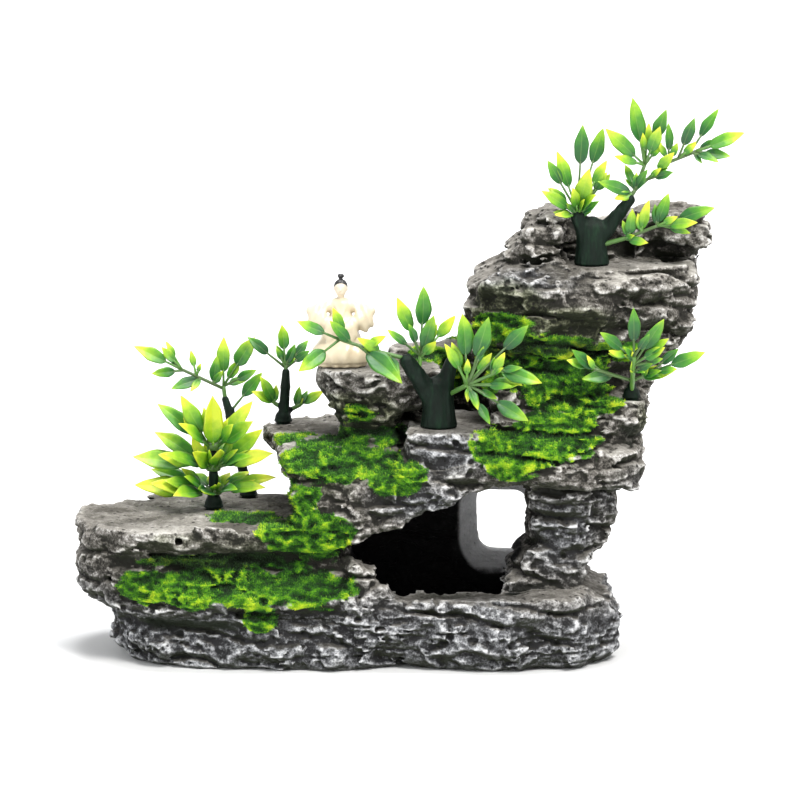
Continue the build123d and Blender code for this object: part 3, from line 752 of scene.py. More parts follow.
# --- Plant shapes -------------------------------------------------------------------------------
class Shells:
    """Closed shells gathered into one mesh, with a few numbers stored at each point."""

    KEYS = ("along", "across", "tone")

    def __init__(self):
        self.points = []
        self.quads = []
        self.triangles = []
        self.values = {key: [] for key in self.KEYS}
        self.count = 0

    def loft(self, rings, along, across, tone):
        """Skins rings of equal size and closes both ends with a fan."""
        rings = np.asarray(rings, np.float32)
        rows, size = rings.shape[:2]
        self.points.append(rings.reshape(-1, 3))
        self.points.append(rings[[0, -1]].mean(1))
        grid = self.count + np.arange(rows * size).reshape(rows, size)
        beside = np.roll(grid, -1, axis=1)
        self.quads.append(
            np.stack([grid[:-1], beside[:-1], beside[1:], grid[1:]], axis=-1).reshape(-1, 4)
        )
        first, last = self.count + rows * size, self.count + rows * size + 1
        self.triangles.append(np.stack([beside[0], grid[0], np.full(size, first)], axis=-1))
        self.triangles.append(np.stack([grid[-1], beside[-1], np.full(size, last)], axis=-1))
        along = np.repeat(np.asarray(along, np.float32), size)
        across = np.tile(np.asarray(across, np.float32), rows)
        self.values["along"].append(np.concatenate([along, [along[0], along[-1]]]))
        self.values["across"].append(np.concatenate([across, [0, 0]]))
        self.values["tone"].append(np.full(rows * size + 2, tone, np.float32))
        self.count += rows * size + 2

    def build(self, name):
        thing = mesh_object(
            name,
            np.concatenate(self.points),
            [np.concatenate(self.quads), np.concatenate(self.triangles)],
        )
        for key in self.KEYS:
            put_attribute(thing, key, np.concatenate(self.values[key]))
        return thing


def unit(vector):
    vector = np.asarray(vector, np.float64)
    return vector / np.linalg.norm(vector)


def frame_across(way, facing):
    """Two directions across a path: sideways, and towards the facing side."""
    side = unit(np.cross(way, facing))
    return side, unit(np.cross(side, way))


TUBE_FACING = (0.31, -0.94, 0.12)  # a direction that no stalk runs along


def tube(shells, path, radii, tone, along=(0.0, 0.0), sides=10):
    """A round stalk through the points of a path."""
    path = np.asarray(path, np.float64)
    steps = np.gradient(path, axis=0)
    angles = np.linspace(0, 2 * math.pi, sides, endpoint=False)
    rings = []
    for point, step, radius in zip(path, steps, radii):
        side, out = frame_across(unit(step), TUBE_FACING)
        rings.append(
            point + radius * (np.cos(angles)[:, None] * side + np.sin(angles)[:, None] * out)
        )
    shells.loft(rings, np.linspace(*along, len(path)), np.zeros(sides), tone)


def curve(start, end, bow, steps):
    """Points from start to end, bent sideways by bow at the middle."""
    start, end, bow = (np.asarray(item, np.float64) for item in (start, end, bow))
    t = np.linspace(0, 1, steps)[:, None]
    return start + (end - start) * t + bow * 4 * t * (1 - t)


BLADE_STEPS = 15
BLADE_THICK = 0.5
# Places across the blade as shares of its half width: over the top, then back underneath.
LANES = np.array([-1, -0.72, -0.4, -0.1, 0, 0.1, 0.4, 0.72, 1, 0.7, 0.3, 0, -0.3, -0.7])
TOP_LANES = 9


def blade(shells, neck, tip, facing, width, fold, bow, tone):
    """A lance-shaped leaf: closed, folded along its midrib and bent along its length."""
    neck, tip = np.asarray(neck, np.float64), np.asarray(tip, np.float64)
    side, out = frame_across(unit(tip - neck), facing)
    length = np.linalg.norm(tip - neck)
    path = curve(neck, tip, out * bow * length, BLADE_STEPS)
    steps = np.gradient(path, axis=0)
    t = np.linspace(0, 1, BLADE_STEPS)
    shape = np.maximum(t, 1e-4) ** 0.75 * (1 - t) ** 1.05 * (1 + 0.06 * np.sin(13 * t + 9 * tone))
    half = width * length / 2 * shape / shape.max() + 0.32 * (1 - t) + 0.06
    is_top = np.arange(len(LANES)) < TOP_LANES
    is_edge = np.abs(LANES) == 1
    rings = []
    for point, step, wide, along in zip(path, steps, half, t):
        normal = unit(np.cross(side, unit(step)))
        ripple = 0.05 * math.sin(9 * along + 5 * tone)
        lift = fold * wide * (np.abs(LANES) ** 1.3) + ripple * wide * LANES
        rib = 0.10 * np.exp(-((LANES / 0.12) ** 2)) * (1 - along)
        thick = np.where(is_top, -rib, -BLADE_THICK * (1 - 0.55 * np.abs(LANES)) - rib * 1.6)
        thick = thick * (0.5 + 0.5 * min(1.0, wide))
        thick = np.where(is_edge, -0.1, thick)
        rings.append(
            point + (LANES * wide)[:, None] * side + (lift + thick + 0.15)[:, None] * normal
        )
    shells.loft(rings, np.maximum(t, 0.02), LANES, tone)


def aim(heading, swing, reach):
    """A step of length reach: heading turns from +X up towards +Z, swing turns towards the front."""
    up, forward = math.radians(heading), math.radians(swing)
    return np.array([
        reach * math.cos(up) * math.cos(forward),
        -reach * math.sin(forward),
        reach * math.sin(up) * math.cos(forward),
    ])


STALK_RADIUS = 0.42
BUSH_LIME = 0.22  # how much yellower the front bush is than the other plants
LEAF_FACING = (0.15, -1.0, 0.45)


def leaf(shells, foot, tip, length, facing, rng, width=0.37, lime=0.0):
    """A stalk and its blade, with a little natural variety. lime makes the leaf yellower."""
    foot, tip = np.asarray(foot, np.float64), np.asarray(tip, np.float64)
    reach = np.linalg.norm(tip - foot)
    way = (tip - foot) / reach
    neck = foot + way * max(reach - length, 0.3)
    tone = rng.uniform() + lime
    path = curve(foot, neck + way * 0.8, (0, 0, 0), 4)
    tube(shells, path, np.linspace(STALK_RADIUS + 0.08, STALK_RADIUS - 0.06, 4), tone, (0.0, 0.05), 8)
    facing = unit(facing) + rng.normal(0, 0.16, 3)
    blade(
        shells, neck, tip, facing, width * rng.uniform(0.9, 1.12), rng.uniform(0.12, 0.34),
        rng.uniform(-0.05, 0.07), tone,
    )


def spray(name, root, twigs, seed, fullness):
    """Twigs of (start, end, radius, leaves), each leaf as (along, heading, swing, reach, length).

    fullness is how many smaller leaves each leaf has beside it, on average.
    """
    shells = Shells()
    rng = np.random.default_rng(seed)
    root = np.asarray(root)
    for start, end, radius, leaves in twigs:
        foot, head = root + start, root + end
        path = curve(foot, head, (0, 0, 0), 6)
        tube(shells, path, np.linspace(radius, radius * 0.9, 6), rng.uniform())
        for along, heading, swing, reach, length in leaves:
            at = foot + along * (head - foot)
            leaf(shells, at, at + aim(heading, swing, reach), length, LEAF_FACING, rng)
            for _ in range(int(fullness + rng.uniform())):
                turn = rng.choice([-1, 1]) * rng.uniform(18, 34)
                small = rng.uniform(0.5, 0.7)
                tip = at + aim(heading + turn, swing + rng.uniform(-8, 16), small * reach)
                leaf(shells, at, tip, small * length, LEAF_FACING, rng)
    return shells.build(name)


def outward(level, lift):
    """A direction from its turn round the stem and its rise above level, in radians."""
    flat = math.cos(lift)
    return np.array([math.cos(level) * flat, math.sin(level) * flat, math.sin(lift)])


def whorl(name, root, height, inner, leaves, seed):
    """A collar on the stem with leaves round it, each as (azimuth, rise, reach, length)."""
    shells = Shells()
    rng = np.random.default_rng(seed)
    centre = np.asarray(root) + (0, 0, height)
    ring(shells, centre, inner + PIN_GAP, inner + 1.2, COLLAR)
    for azimuth, rise, reach, length in leaves:
        level, lift = math.radians(azimuth), math.radians(rise)
        way = outward(level, lift)
        foot = centre + (math.cos(level) * (inner + 0.6), math.sin(level) * (inner + 0.6), COLLAR / 2)
        facing = (-0.3 * way[0], -0.3 * way[1] - 0.9, 0.7)
        leaf(shells, foot, foot + way * (reach - 0.6), length, facing, rng, 0.38, BUSH_LIME)
        level += rng.choice([-1, 1]) * rng.uniform(0.3, 0.5)
        lift += rng.uniform(0.15, 0.45)
        small = rng.uniform(0.5, 0.72)
        way = outward(level, lift)
        leaf(shells, foot, foot + way * small * reach, small * length, facing, rng, 0.40, BUSH_LIME)
    return shells.build(name)


def ring(shells, centre, inner, outer, height, sides=24):
    """A collar with a bore: a square section swept round."""
    angles = np.linspace(0, 2 * math.pi, sides, endpoint=False)
    profile = [
        (inner, 0), (outer - 0.25, 0), (outer, 0.3), (outer, height - 0.3), (outer - 0.25, height),
        (inner, height),
    ]
    points = np.array([
        [
            (centre[0] + r * math.cos(a), centre[1] + r * math.sin(a), centre[2] + h)
            for r, h in profile
        ]
        for a in angles
    ], np.float32)
    size = len(profile)
    grid = shells.count + np.arange(sides * size).reshape(sides, size)
    beside = np.roll(grid, -1, axis=1)
    ahead = np.roll(grid, -1, axis=0)
    both = np.roll(ahead, -1, axis=1)
    shells.points.append(points.reshape(-1, 3))
    shells.quads.append(np.stack([grid, ahead, both, beside], axis=-1).reshape(-1, 4))
    for key, value in (("along", 0.0), ("across", 0.0), ("tone", 0.3)):
        shells.values[key].append(np.full(sides * size, value, np.float32))
    shells.count += sides * size


# --- Plant layout -------------------------------------------------------------------------------
PIN = 0.8  # radius of the pin by which a spray is plugged in
PIN_GAP = 0.04
COLLAR = 2.4  # height of each collar of leaves
# Each spray: its plant, how full it is, and its twigs, placed from the plant's root.
SPRAYS = {
    "centre_left_spray": ("centre_plant", 0.35, [
        ((-9.0, -4.7, 20.0), (-12.0, -5.4, 23.8), PIN, []),
        ((-11.6, -5.3, 23.6), (-22.0, -5.6, 26.4), 0.7, [
            (0.7, 146, 20, 10, 9), (0.45, -66, 30, 9, 8),
        ]),
        ((-22.0, -5.6, 26.4), (-33.0, -5.6, 30.0), 0.6, [
            (0.6, 132, 15, 11, 10), (0.75, 112, -5, 12, 8.5), (1, 155, 10, 15, 10), (0.2, 30, 5, 8, 7),
            (0.95, 215, 25, 18, 11.5), (0.4, -38, 25, 20, 16),
        ]),
    ]),
    "centre_up_spray": ("centre_plant", 1.2, [
        ((-7.0, -4.0, 17.6), (-6.0, -3.2, 24.0), PIN, [
            (1, 112, 0, 21, 12), (1, 88, 5, 23.5, 13), (0.9, 74, 22, 17, 13), (0.9, 50, -8, 18, 9),
        ]),
    ]),
    "centre_right_spray": ("centre_plant", 1.3, [
        ((3.4, -1.5, 11.0), (9.4, -9.5, 15.5), PIN, [
            (1, 95, 5, 24, 14), (0.9, 108, 12, 16, 9), (1, 74, 8, 24, 14), (1, 46, 6, 28, 11),
            (1, 4, 12, 18, 10), (1, -30, 10, 23, 12), (1, -68, 20, 9, 7),
        ]),
        ((9.4, -9.5, 15.5), (20.0, -11.5, 20.5), 0.6, [(1, -16, 8, 14, 13), (0.7, 60, 10, 9, 7)]),
    ]),
    "summit_left_spray": ("summit_plant", 1.8, [
        ((-3.3, -1.6, 12.4), (-5.0, -2.1, 17.6), PIN, [
            (1, 87, 3, 29, 13), (0.95, 73, -7, 29, 12), (0.85, 109, -2, 22, 12.5),
            (0.75, 146, 6, 15, 10.5),
            (0.9, 78, 27, 18, 14), (0.8, 103, 38, 13, 9), (0.8, 36, 22, 9, 7.5),
        ]),
    ]),
    "summit_right_spray": ("summit_plant", 1.3, [
        ((10.4, -2.0, 19.2), (14.0, -2.0, 24.8), PIN, [
            (0.8, 160, 15, 13, 12), (1, 62, 25, 9, 8), (1, 112, -15, 9, 6.5),
        ]),
        ((14.0, -2.0, 24.8), (17.0, -2.4, 33.0), 0.7, [
            (1, 101, 5, 23, 15), (1, 84, -12, 14, 8.5), (1, 137, 4, 18, 13.5), (1, 70, 8, 20, 10.5),
        ]),
        ((14.0, -2.0, 24.8), (24.0, -1.5, 33.5), 0.6, [(0.6, 50, 25, 11, 8.5), (0.4, 20, 30, 10, 7)]),
        ((24.0, -1.5, 33.5), (34.0, -1.5, 37.4), 0.6, [
            (0.1, 92, 0, 13, 9), (0.4, 70, 12, 15, 10), (0.75, 56, -10, 18, 11), (1, 22, 4, 17, 12.5),
            (0.9, -20, 14, 9, 7.5),
        ]),
    ]),
    "summit_low_spray": ("summit_plant", 1.2, [
        ((3.4, -2.0, 6.6), (12.0, -4.0, 9.4), PIN, [(1, 84, 5, 9.5, 8.5), (0.8, -6, 30, 9, 7)]),
        ((12.0, -4.0, 9.4), (22.0, -5.0, 13.6), 0.6, [
            (0.4, 78, 12, 11.5, 10), (0.9, 70, -5, 11.5, 10), (1, 18, 5, 19, 12.5),
            (0.9, 8, 20, 14, 9.5),
        ]),
    ]),
    "right_plant_spray": ("right_plant", 1.4, [
        ((0.0, -0.8, 1.5), (0.0, -11.5, 15.5), PIN, [
            (1, 92, 12, 17, 11.5), (0.95, 141, 14, 15, 9.5), (0.9, 126, 30, 7, 6),
            (0.8, 59, 16, 19, 12.5),
            (0.75, 40, 12, 15, 7.5), (0.6, 28, 30, 8, 6), (0.5, 97, 40, 7, 5),
        ]),
        ((0.0, -3.6, 6.1), (-13.0, -12.5, 11.5), 0.6, [
            (1, 138, 8, 10, 9.5), (0.85, 160, 12, 12, 7), (0.5, 184, 18, 11, 9.5),
        ]),
        ((0.0, -3.6, 6.1), (6.0, -6.5, 9.5), 0.6, [
            (1, 22, 8, 19, 12), (1, 10, 20, 9, 6), (0.5, 24, 35, 8, 7), (0.3, 12, 10, 12, 10),
        ]),
    ]),
    "rear_left_spray": ("rear_left_plant", 0.8, [
        ((-7.6, 1.4, 31.0), (-8.4, 2.0, 37.5), PIN, [
            (1, 89, 0, 17, 12), (1, 58, 10, 21, 12), (1, 18, -8, 10, 8),
        ]),
        ((-8.3, 1.9, 36.6), (-22.5, 0.0, 43.6), 0.6, [
            (1, 153, 5, 18, 12), (1, 120, -10, 11, 6), (0.95, 184, 12, 11, 8), (0.55, 198, 20, 11, 10),
            (0.65, 102, -5, 9, 5.5), (0.25, 82, 5, 10, 9),
        ]),
    ]),
    "rear_right_spray": ("rear_right_plant", 0.4, [
        ((0.9, 0.0, 14.4), (1.0, 0.0, 19.4), PIN, [
            (0.8, 95, 0, 15, 8.5), (0.8, 140, 5, 17, 9), (0.9, 115, -12, 8, 6.5), (1, 66, 0, 8, 7),
            (0.8, 36, -5, 10, 6), (0.9, 48, -20, 12, 7),
        ]),
    ]),
    "rear_right_low_spray": ("rear_right_plant", 0.8, [
        ((-0.6, 0.0, 5.0), (-3.0, -0.4, 6.4), PIN, [(1, 116, 12, 11, 10), (1, 150, 14, 9, 8)]),
    ]),
    "rear_right_side_spray": ("rear_right_plant", 0.8, [
        ((0.6, 0.4, 3.0), (6.0, 1.6, 5.6), PIN, [(1, 30, -5, 9, 8), (0.7, 80, -10, 7, 6.5)]),
    ]),
}
REAR_LEFT_LOW_LEAF = (-5.9, 1.1, 29.0)
BUSH_STEPS = [(0, 2.2), (4.5, 1.7), (12.5, 1.3), (19.5, 0.9)]  # (height, radius above it)
BUSH_WHORLS = {
    "front_bush_low_leaves": (1, [
        (188, 6, 25, 18), (207, 12, 22, 16), (168, 18, 21, 15), (232, 4, 19, 14), (262, 10, 16, 12),
        (300, 12, 16, 12), (336, 8, 18, 13), (356, 14, 20, 14), (30, 24, 13, 10), (70, 20, 11, 8),
        (120, 16, 13, 10),
    ]),
    "front_bush_middle_leaves": (2, [
        (181, 8, 26, 18), (172, 32, 22, 16), (215, 20, 19, 15), (246, 30, 16, 13), (282, 34, 16, 13),
        (318, 20, 18, 14), (350, 16, 20, 15), (8, 40, 20, 15), (70, 40, 12, 9), (130, 36, 13, 10),
    ]),
    "front_bush_top_leaves": (3, [
        (272, 74, 20, 18), (196, 62, 21, 15), (178, 40, 23, 16), (222, 36, 17, 13), (6, 52, 20, 15),
        (338, 36, 17, 13), (90, 62, 14, 11), (50, 46, 14, 10),
    ]),
}
# Each stem as round bars: start and end from the plant's root, and the radius at each.
STEMS = {
    "centre_stump": ("centre_plant", [
        ((0, 0, 0.5), (0, 0, 12.5), 5.9, 4.3), ((-1.3, -0.6, 8.5), (-10.5, -5.0, 22.5), 3.6, 2.3),
        ((0.5, -0.1, 8.5), (3.8, -1.0, 21.0), 3.4, 2.0),
    ]),
    "summit_stump": ("summit_plant", [
        ((0, 0, 0.5), (0, 0, 11.5), 5.7, 4.1), ((-0.5, -0.2, 7.5), (-4.5, -2.0, 15.5), 3.4, 2.4),
        ((1.5, -0.2, 7.5), (12.4, -2.0, 21.5), 3.0, 1.6),
    ]),
    "rear_left_stem": ("rear_left_plant", [
        ((0, 0, 0.4), (0, 0, 1.2), 3.1, 2.8), ((0, 0, 0), (-6, 1, 27), 1.8, 1.5),
        ((-6, 1, 27), (-7.8, 1.6, 33), 1.6, 1.2), ((-6, 1, 27), (-5.6, 1.0, 29.4), 1.7, 1.0),
    ]),
    "rear_right_stem": ("rear_right_plant", [
        ((0, 0, 0.4), (0, 0, 1.2), 3.1, 2.8), ((0, 0, 0), (0.8, 0, 12), 1.9, 1.6),
        ((0.8, 0, 12), (1, 0, 17), 1.7, 1.3), ((0.4, 0, 4), (-1.2, -0.2, 5.6), 1.5, 0.9),
        ((0.3, 0, 2.6), (2.6, 0.8, 4.0), 1.4, 0.9),
    ]),
    "front_bush_stem": ("front_bush", [
        ((0, 0, 0.4), (0, 0, 1.2), 3.3, 3.0), ((0, 0, 0), (0, 0, 3.2), 2.2, 2.2),
        ((0, 0, 3), (0, 0, 11.4), 1.6, 1.6), ((0, 0, 11), (0, 0, 18.6), 1.2, 1.2),
        ((0, 0, 18), (0, 0, 20.8), 0.8, 0.6),
    ]),
    "right_plant_foot": ("right_plant", [
        ((0, 0, 0.4), (0, 0, 1.2), 3.1, 2.7), ((0, 0, 0), (0, -1.4, 4), 1.8, 1.5),
    ]),
}


def bark_stem(node, root, bars):
    """A moulded stem on its peg, its bars run together and grained upwards."""
    thick = node.endswith("stump")
    voxel = 0.34 if thick else 0.25
    ends = np.array([end for _, end, _, _ in bars] + [(0, 0, -PEG_LENGTH)])
    reach = max(bar[2] for bar in bars) + 1.5
    field = Field(ends.min(0) - reach * np.array([1, 1, 0]) - (0, 0, 0.8), ends.max(0) + reach, voxel)
    p = field.places()
    x, y, z = p
    stem = limb(p, *bars[0])
    for bar in bars[1:]:
        stem = blend(stem, limb(p, *bar), 1.6 if thick else 0.5)
    if thick:
        flutes = ridged(x / 2.4, y / 2.4, z / 15 + 2, 2)
        grain = noise(x, y, z / 6.0)
        stem = stem - 0.30 * flutes - 0.16 * grain
    stem = np.maximum(stem, -z)
    peg = np.maximum(np.hypot(x, y) - PEG_RADIUS + 0.05, np.maximum(z - 1, -z - PEG_LENGTH))
    points, faces = field.surface(np.minimum(stem, peg))
    return mesh_object(node + "_bark", points + np.asarray(root, np.float32), faces)


def build_plants():
    stem_paint = stem_material()
    leaf_paint = leaf_material()
    for number, (node, (plant, fullness, twigs)) in enumerate(SPRAYS.items()):
        piece = spray(node + "_leaves", PLANT_ROOTS[plant], twigs, 40 + number, fullness)
        place(piece, plant, node, "leaf_plastic", leaf_paint)
    for number, (node, (step, leaves)) in enumerate(BUSH_WHORLS.items()):
        height, radius = BUSH_STEPS[step]
        piece = whorl(node + "_moulded", PLANT_ROOTS["front_bush"], height, radius, leaves, 80 + number)
        place(piece, "front_bush", node, "leaf_plastic", leaf_paint)
    for node, (plant, bars) in STEMS.items():
        place(bark_stem(node, PLANT_ROOTS[plant], bars), plant, node, "dark_green_stem", stem_paint)
    shells = Shells()
    foot = np.add(PLANT_ROOTS["rear_left_plant"], REAR_LEFT_LOW_LEAF)
    leaf(shells, foot, foot + aim(50, -14, 17), 10.5, LEAF_FACING, np.random.default_rng(70))
    low_leaf = shells.build("rear_left_low_leaf")
    place(low_leaf, "rear_left_plant", "rear_left_stem", "leaf_plastic", leaf_paint)


# --- Figurine -----------------------------------------------------------------------------------
def ball(p, centre, radii):
    """Rough distance to an ellipsoid."""
    q = [(p[k] - centre[k]) / radii[k] for k in range(3)]
    away = np.sqrt(q[0] ** 2 + q[1] ** 2 + q[2] ** 2)
    return (away - 1) * min(radii)


def limb(p, start, end, start_radius, end_radius):
    """Distance to a rounded bar that tapers from start to end."""
    start, end = np.asarray(start, np.float32), np.asarray(end, np.float32)
    way = end - start
    t = sum((p[k] - start[k]) * way[k] for k in range(3)) / (way @ way)
    t = np.clip(t, 0, 1)
    away = np.sqrt(sum((p[k] - start[k] - t * way[k]) ** 2 for k in range(3)))
    return away - (start_radius + (end_radius - start_radius) * t)


def blend(a, b, width):
    """The union of two fields with a soft fillet."""
    part = np.clip(0.5 + 0.5 * (b - a) / width, 0, 1)
    return b + (a - b) * part - width * part * (1 - part)


def figurine_field(low, high, voxel, lift=0.0):
    """A block round part of the figurine, and places measured from its foot plus lift."""
    foot = np.asarray(FIGURINE_FOOT) + (0, 0, lift)
    field = Field(foot + low, foot + high, voxel)
    x, y, z = field.places()
    return field, (x - foot[0], y - foot[1], z - foot[2])


def robe_shape():
    """Skirt spread over crossed legs, upper body and wide hanging sleeves, all in folds."""
    field, p = figurine_field((-15, -12, -1.2), (15, 12, 25), 0.24)
    x, y, z = p
    angle = np.arctan2(y, x)
    skirt = ball(p, (0, 0, 3.8), (9.6, 8.6, 5.8))
    knees = blend(limb(p, (-5.4, -3.4, 3.6), (5.4, -3.4, 3.6), 3.9, 3.9), skirt, 1.6)
    knees = blend(knees, limb(p, (0, 0, 6), (0, 0.4, 12), 6.9, 5.2), 3.0)
    body = limb(p, (0, 0.3, 10), (0, 0.5, 20.0), 5.3, 2.9)
    robe = blend(knees, body, 2.5)
    for side in (-1, 1):
        upper = limb(p, (side * 1.8, 0.4, 20.2), (side * 9.2, -1.2, 18.4), 2.0, 2.0)
        drape = ball(p, (side * 7.4, -3.2, 15.4), (3.6, 2.2, 3.8))
        lower = limb(p, (side * 9.0, -1.8, 17.6), (side * 2.0, -6.2, 13.2), 2.2, 1.9)
        cuff = ball(p, (side * 3.4, -6.0, 11.4), (2.1, 1.5, 3.2))
        for part in (upper, drape, lower, cuff):
            robe = blend(robe, part, 1.1)
    collar = limb(p, (-1.9, -1.4, 20.9), (0.5, -3.6, 15.0), 0.55, 0.6)
    collar = np.minimum(collar, limb(p, (1.9, -1.4, 20.9), (0.0, -3.5, 16.2), 0.55, 0.6))
    robe = blend(robe, collar, 0.4)
    folds = 0.26 * np.sin(13 * angle + 1.2 * np.sin(0.5 * z)) * smooth(9.5, 2.0, z)
    sleeves = smooth(8.5, 11, z) * smooth(2.5, 5, np.abs(x))
    folds = folds + 0.24 * np.sin(1.9 * x * np.sign(x) + 0.9 * z) * sleeves
    hem = 0.22 * (np.abs(z - 1.3) < 0.35)
    robe = robe - folds + hem
    return mesh_object("figurine_robe", *field.surface(np.maximum(soften(robe, 1), 0.02 - z)))


HEAD_LIFT = 0.9  # the head's features are laid out for a neck this much shorter


def head_shape():
    """A calm, plain face of even proportions on a short neck."""
    field, p = figurine_field((-3.6, -4.4, 18.0), (3.6, 4.4, 29.6), 0.13, HEAD_LIFT)
    head = ball(p, (0, 0.1, 25.1), (2.15, 2.35, 2.55))
    jaw = ball(p, (0, -0.7, 23.9), (1.55, 1.55, 1.65))
    head = blend(head, jaw, 0.8)
    head = blend(head, limb(p, (0, 0.4, 19.0), (0, 0.3, 23.2), 1.35, 1.2), 0.5)
    nose = limb(p, (0, -2.35, 25.1), (0, -2.62, 24.45), 0.16, 0.3)
    head = blend(head, nose, 0.25)
    for side in (-1, 1):
        brow = limb(p, (side * 0.35, -2.25, 25.5), (side * 1.15, -1.95, 25.55), 0.14, 0.1)
        head = blend(head, brow, 0.2)
        socket_hollow = ball(p, (side * 0.72, -2.55, 25.15), (0.42, 0.34, 0.22))
        head = np.maximum(head, -socket_hollow)
        lid = ball(p, (side * 0.72, -2.02, 25.1), (0.36, 0.3, 0.17))
        head = blend(head, lid, 0.08)
        ear = ball(p, (side * 2.15, 0.2, 24.8), (0.3, 0.5, 0.8))
        head = blend(head, ear, 0.15)
    lips = limb(p, (-0.42, -2.22, 23.72), (0.42, -2.22, 23.72), 0.13, 0.13)
    head = blend(head, lips, 0.12)
    return mesh_object("figurine_head", *field.surface(head))


def hair_shape():
    """Swept-back hair with a tied topknot."""
    field, p = figurine_field((-3.4, -3.6, 22.4), (3.4, 4.2, 31.0), 0.14, HEAD_LIFT)
    x, y, z = p
    cap = ball(p, (0, 0.4, 25.4), (2.36, 2.5, 2.6))
    cap = np.maximum(cap, -(z - 26.2 + 0.85 * (y + 1.1)))
    cap = cap - 0.05 * np.sin(34 * np.arctan2(x, z - 24.5))
    tie = limb(p, (0, 0.4, 27.6), (0, 0.5, 28.2), 0.62, 0.55)
    knot = ball(p, (0, 0.6, 28.95), (1.12, 1.0, 0.85))
    knot = knot - 0.05 * np.sin(11 * np.arctan2(y - 0.6, x) + 2 * z)
    hair = blend(blend(cap, tie, 0.3), knot, 0.2)
    return mesh_object("figurine_hair", *field.surface(hair))


def hands_shape():
    """Two hands folded together in front, half inside the sleeves."""
    field, p = figurine_field((-3.6, -9.4, 8.0), (3.6, -4.0, 14.2), 0.14, 1.6)
    hands = ball(p, (0, -6.6, 11.2), (1.7, 1.0, 1.1))
    for number in range(4):
        level = 10.5 + 0.48 * number
        finger = limb(p, (-1.3, -7.3, level + 0.25), (1.1, -7.45, level), 0.27, 0.22)
        hands = blend(hands, finger, 0.06)
    thumb = limb(p, (1.2, -7.0, 12.1), (-0.2, -7.3, 12.5), 0.3, 0.24)
    return mesh_object("figurine_hands", *field.surface(blend(hands, thumb, 0.08)))


def build_figurine():
    cream = glaze_material("figurine_cream", (0.66, 0.57, 0.41), (0.42, 0.28, 0.14))
    skin = glaze_material("figurine_skin", (0.70, 0.61, 0.48), (0.48, 0.32, 0.19))
    hands = glaze_material("figurine_hands_glaze", (0.62, 0.42, 0.20), (0.35, 0.20, 0.08))
    hair = glaze_material("figurine_hair_glaze", (0.012, 0.011, 0.012), (0.004, 0.004, 0.004))
    shapes = [(robe_shape(), cream), (head_shape(), skin), (hair_shape(), hair), (hands_shape(), hands)]
    for piece, material in shapes:
        place(piece, "figurine", "seated_figurine", "figurine_glaze", material)


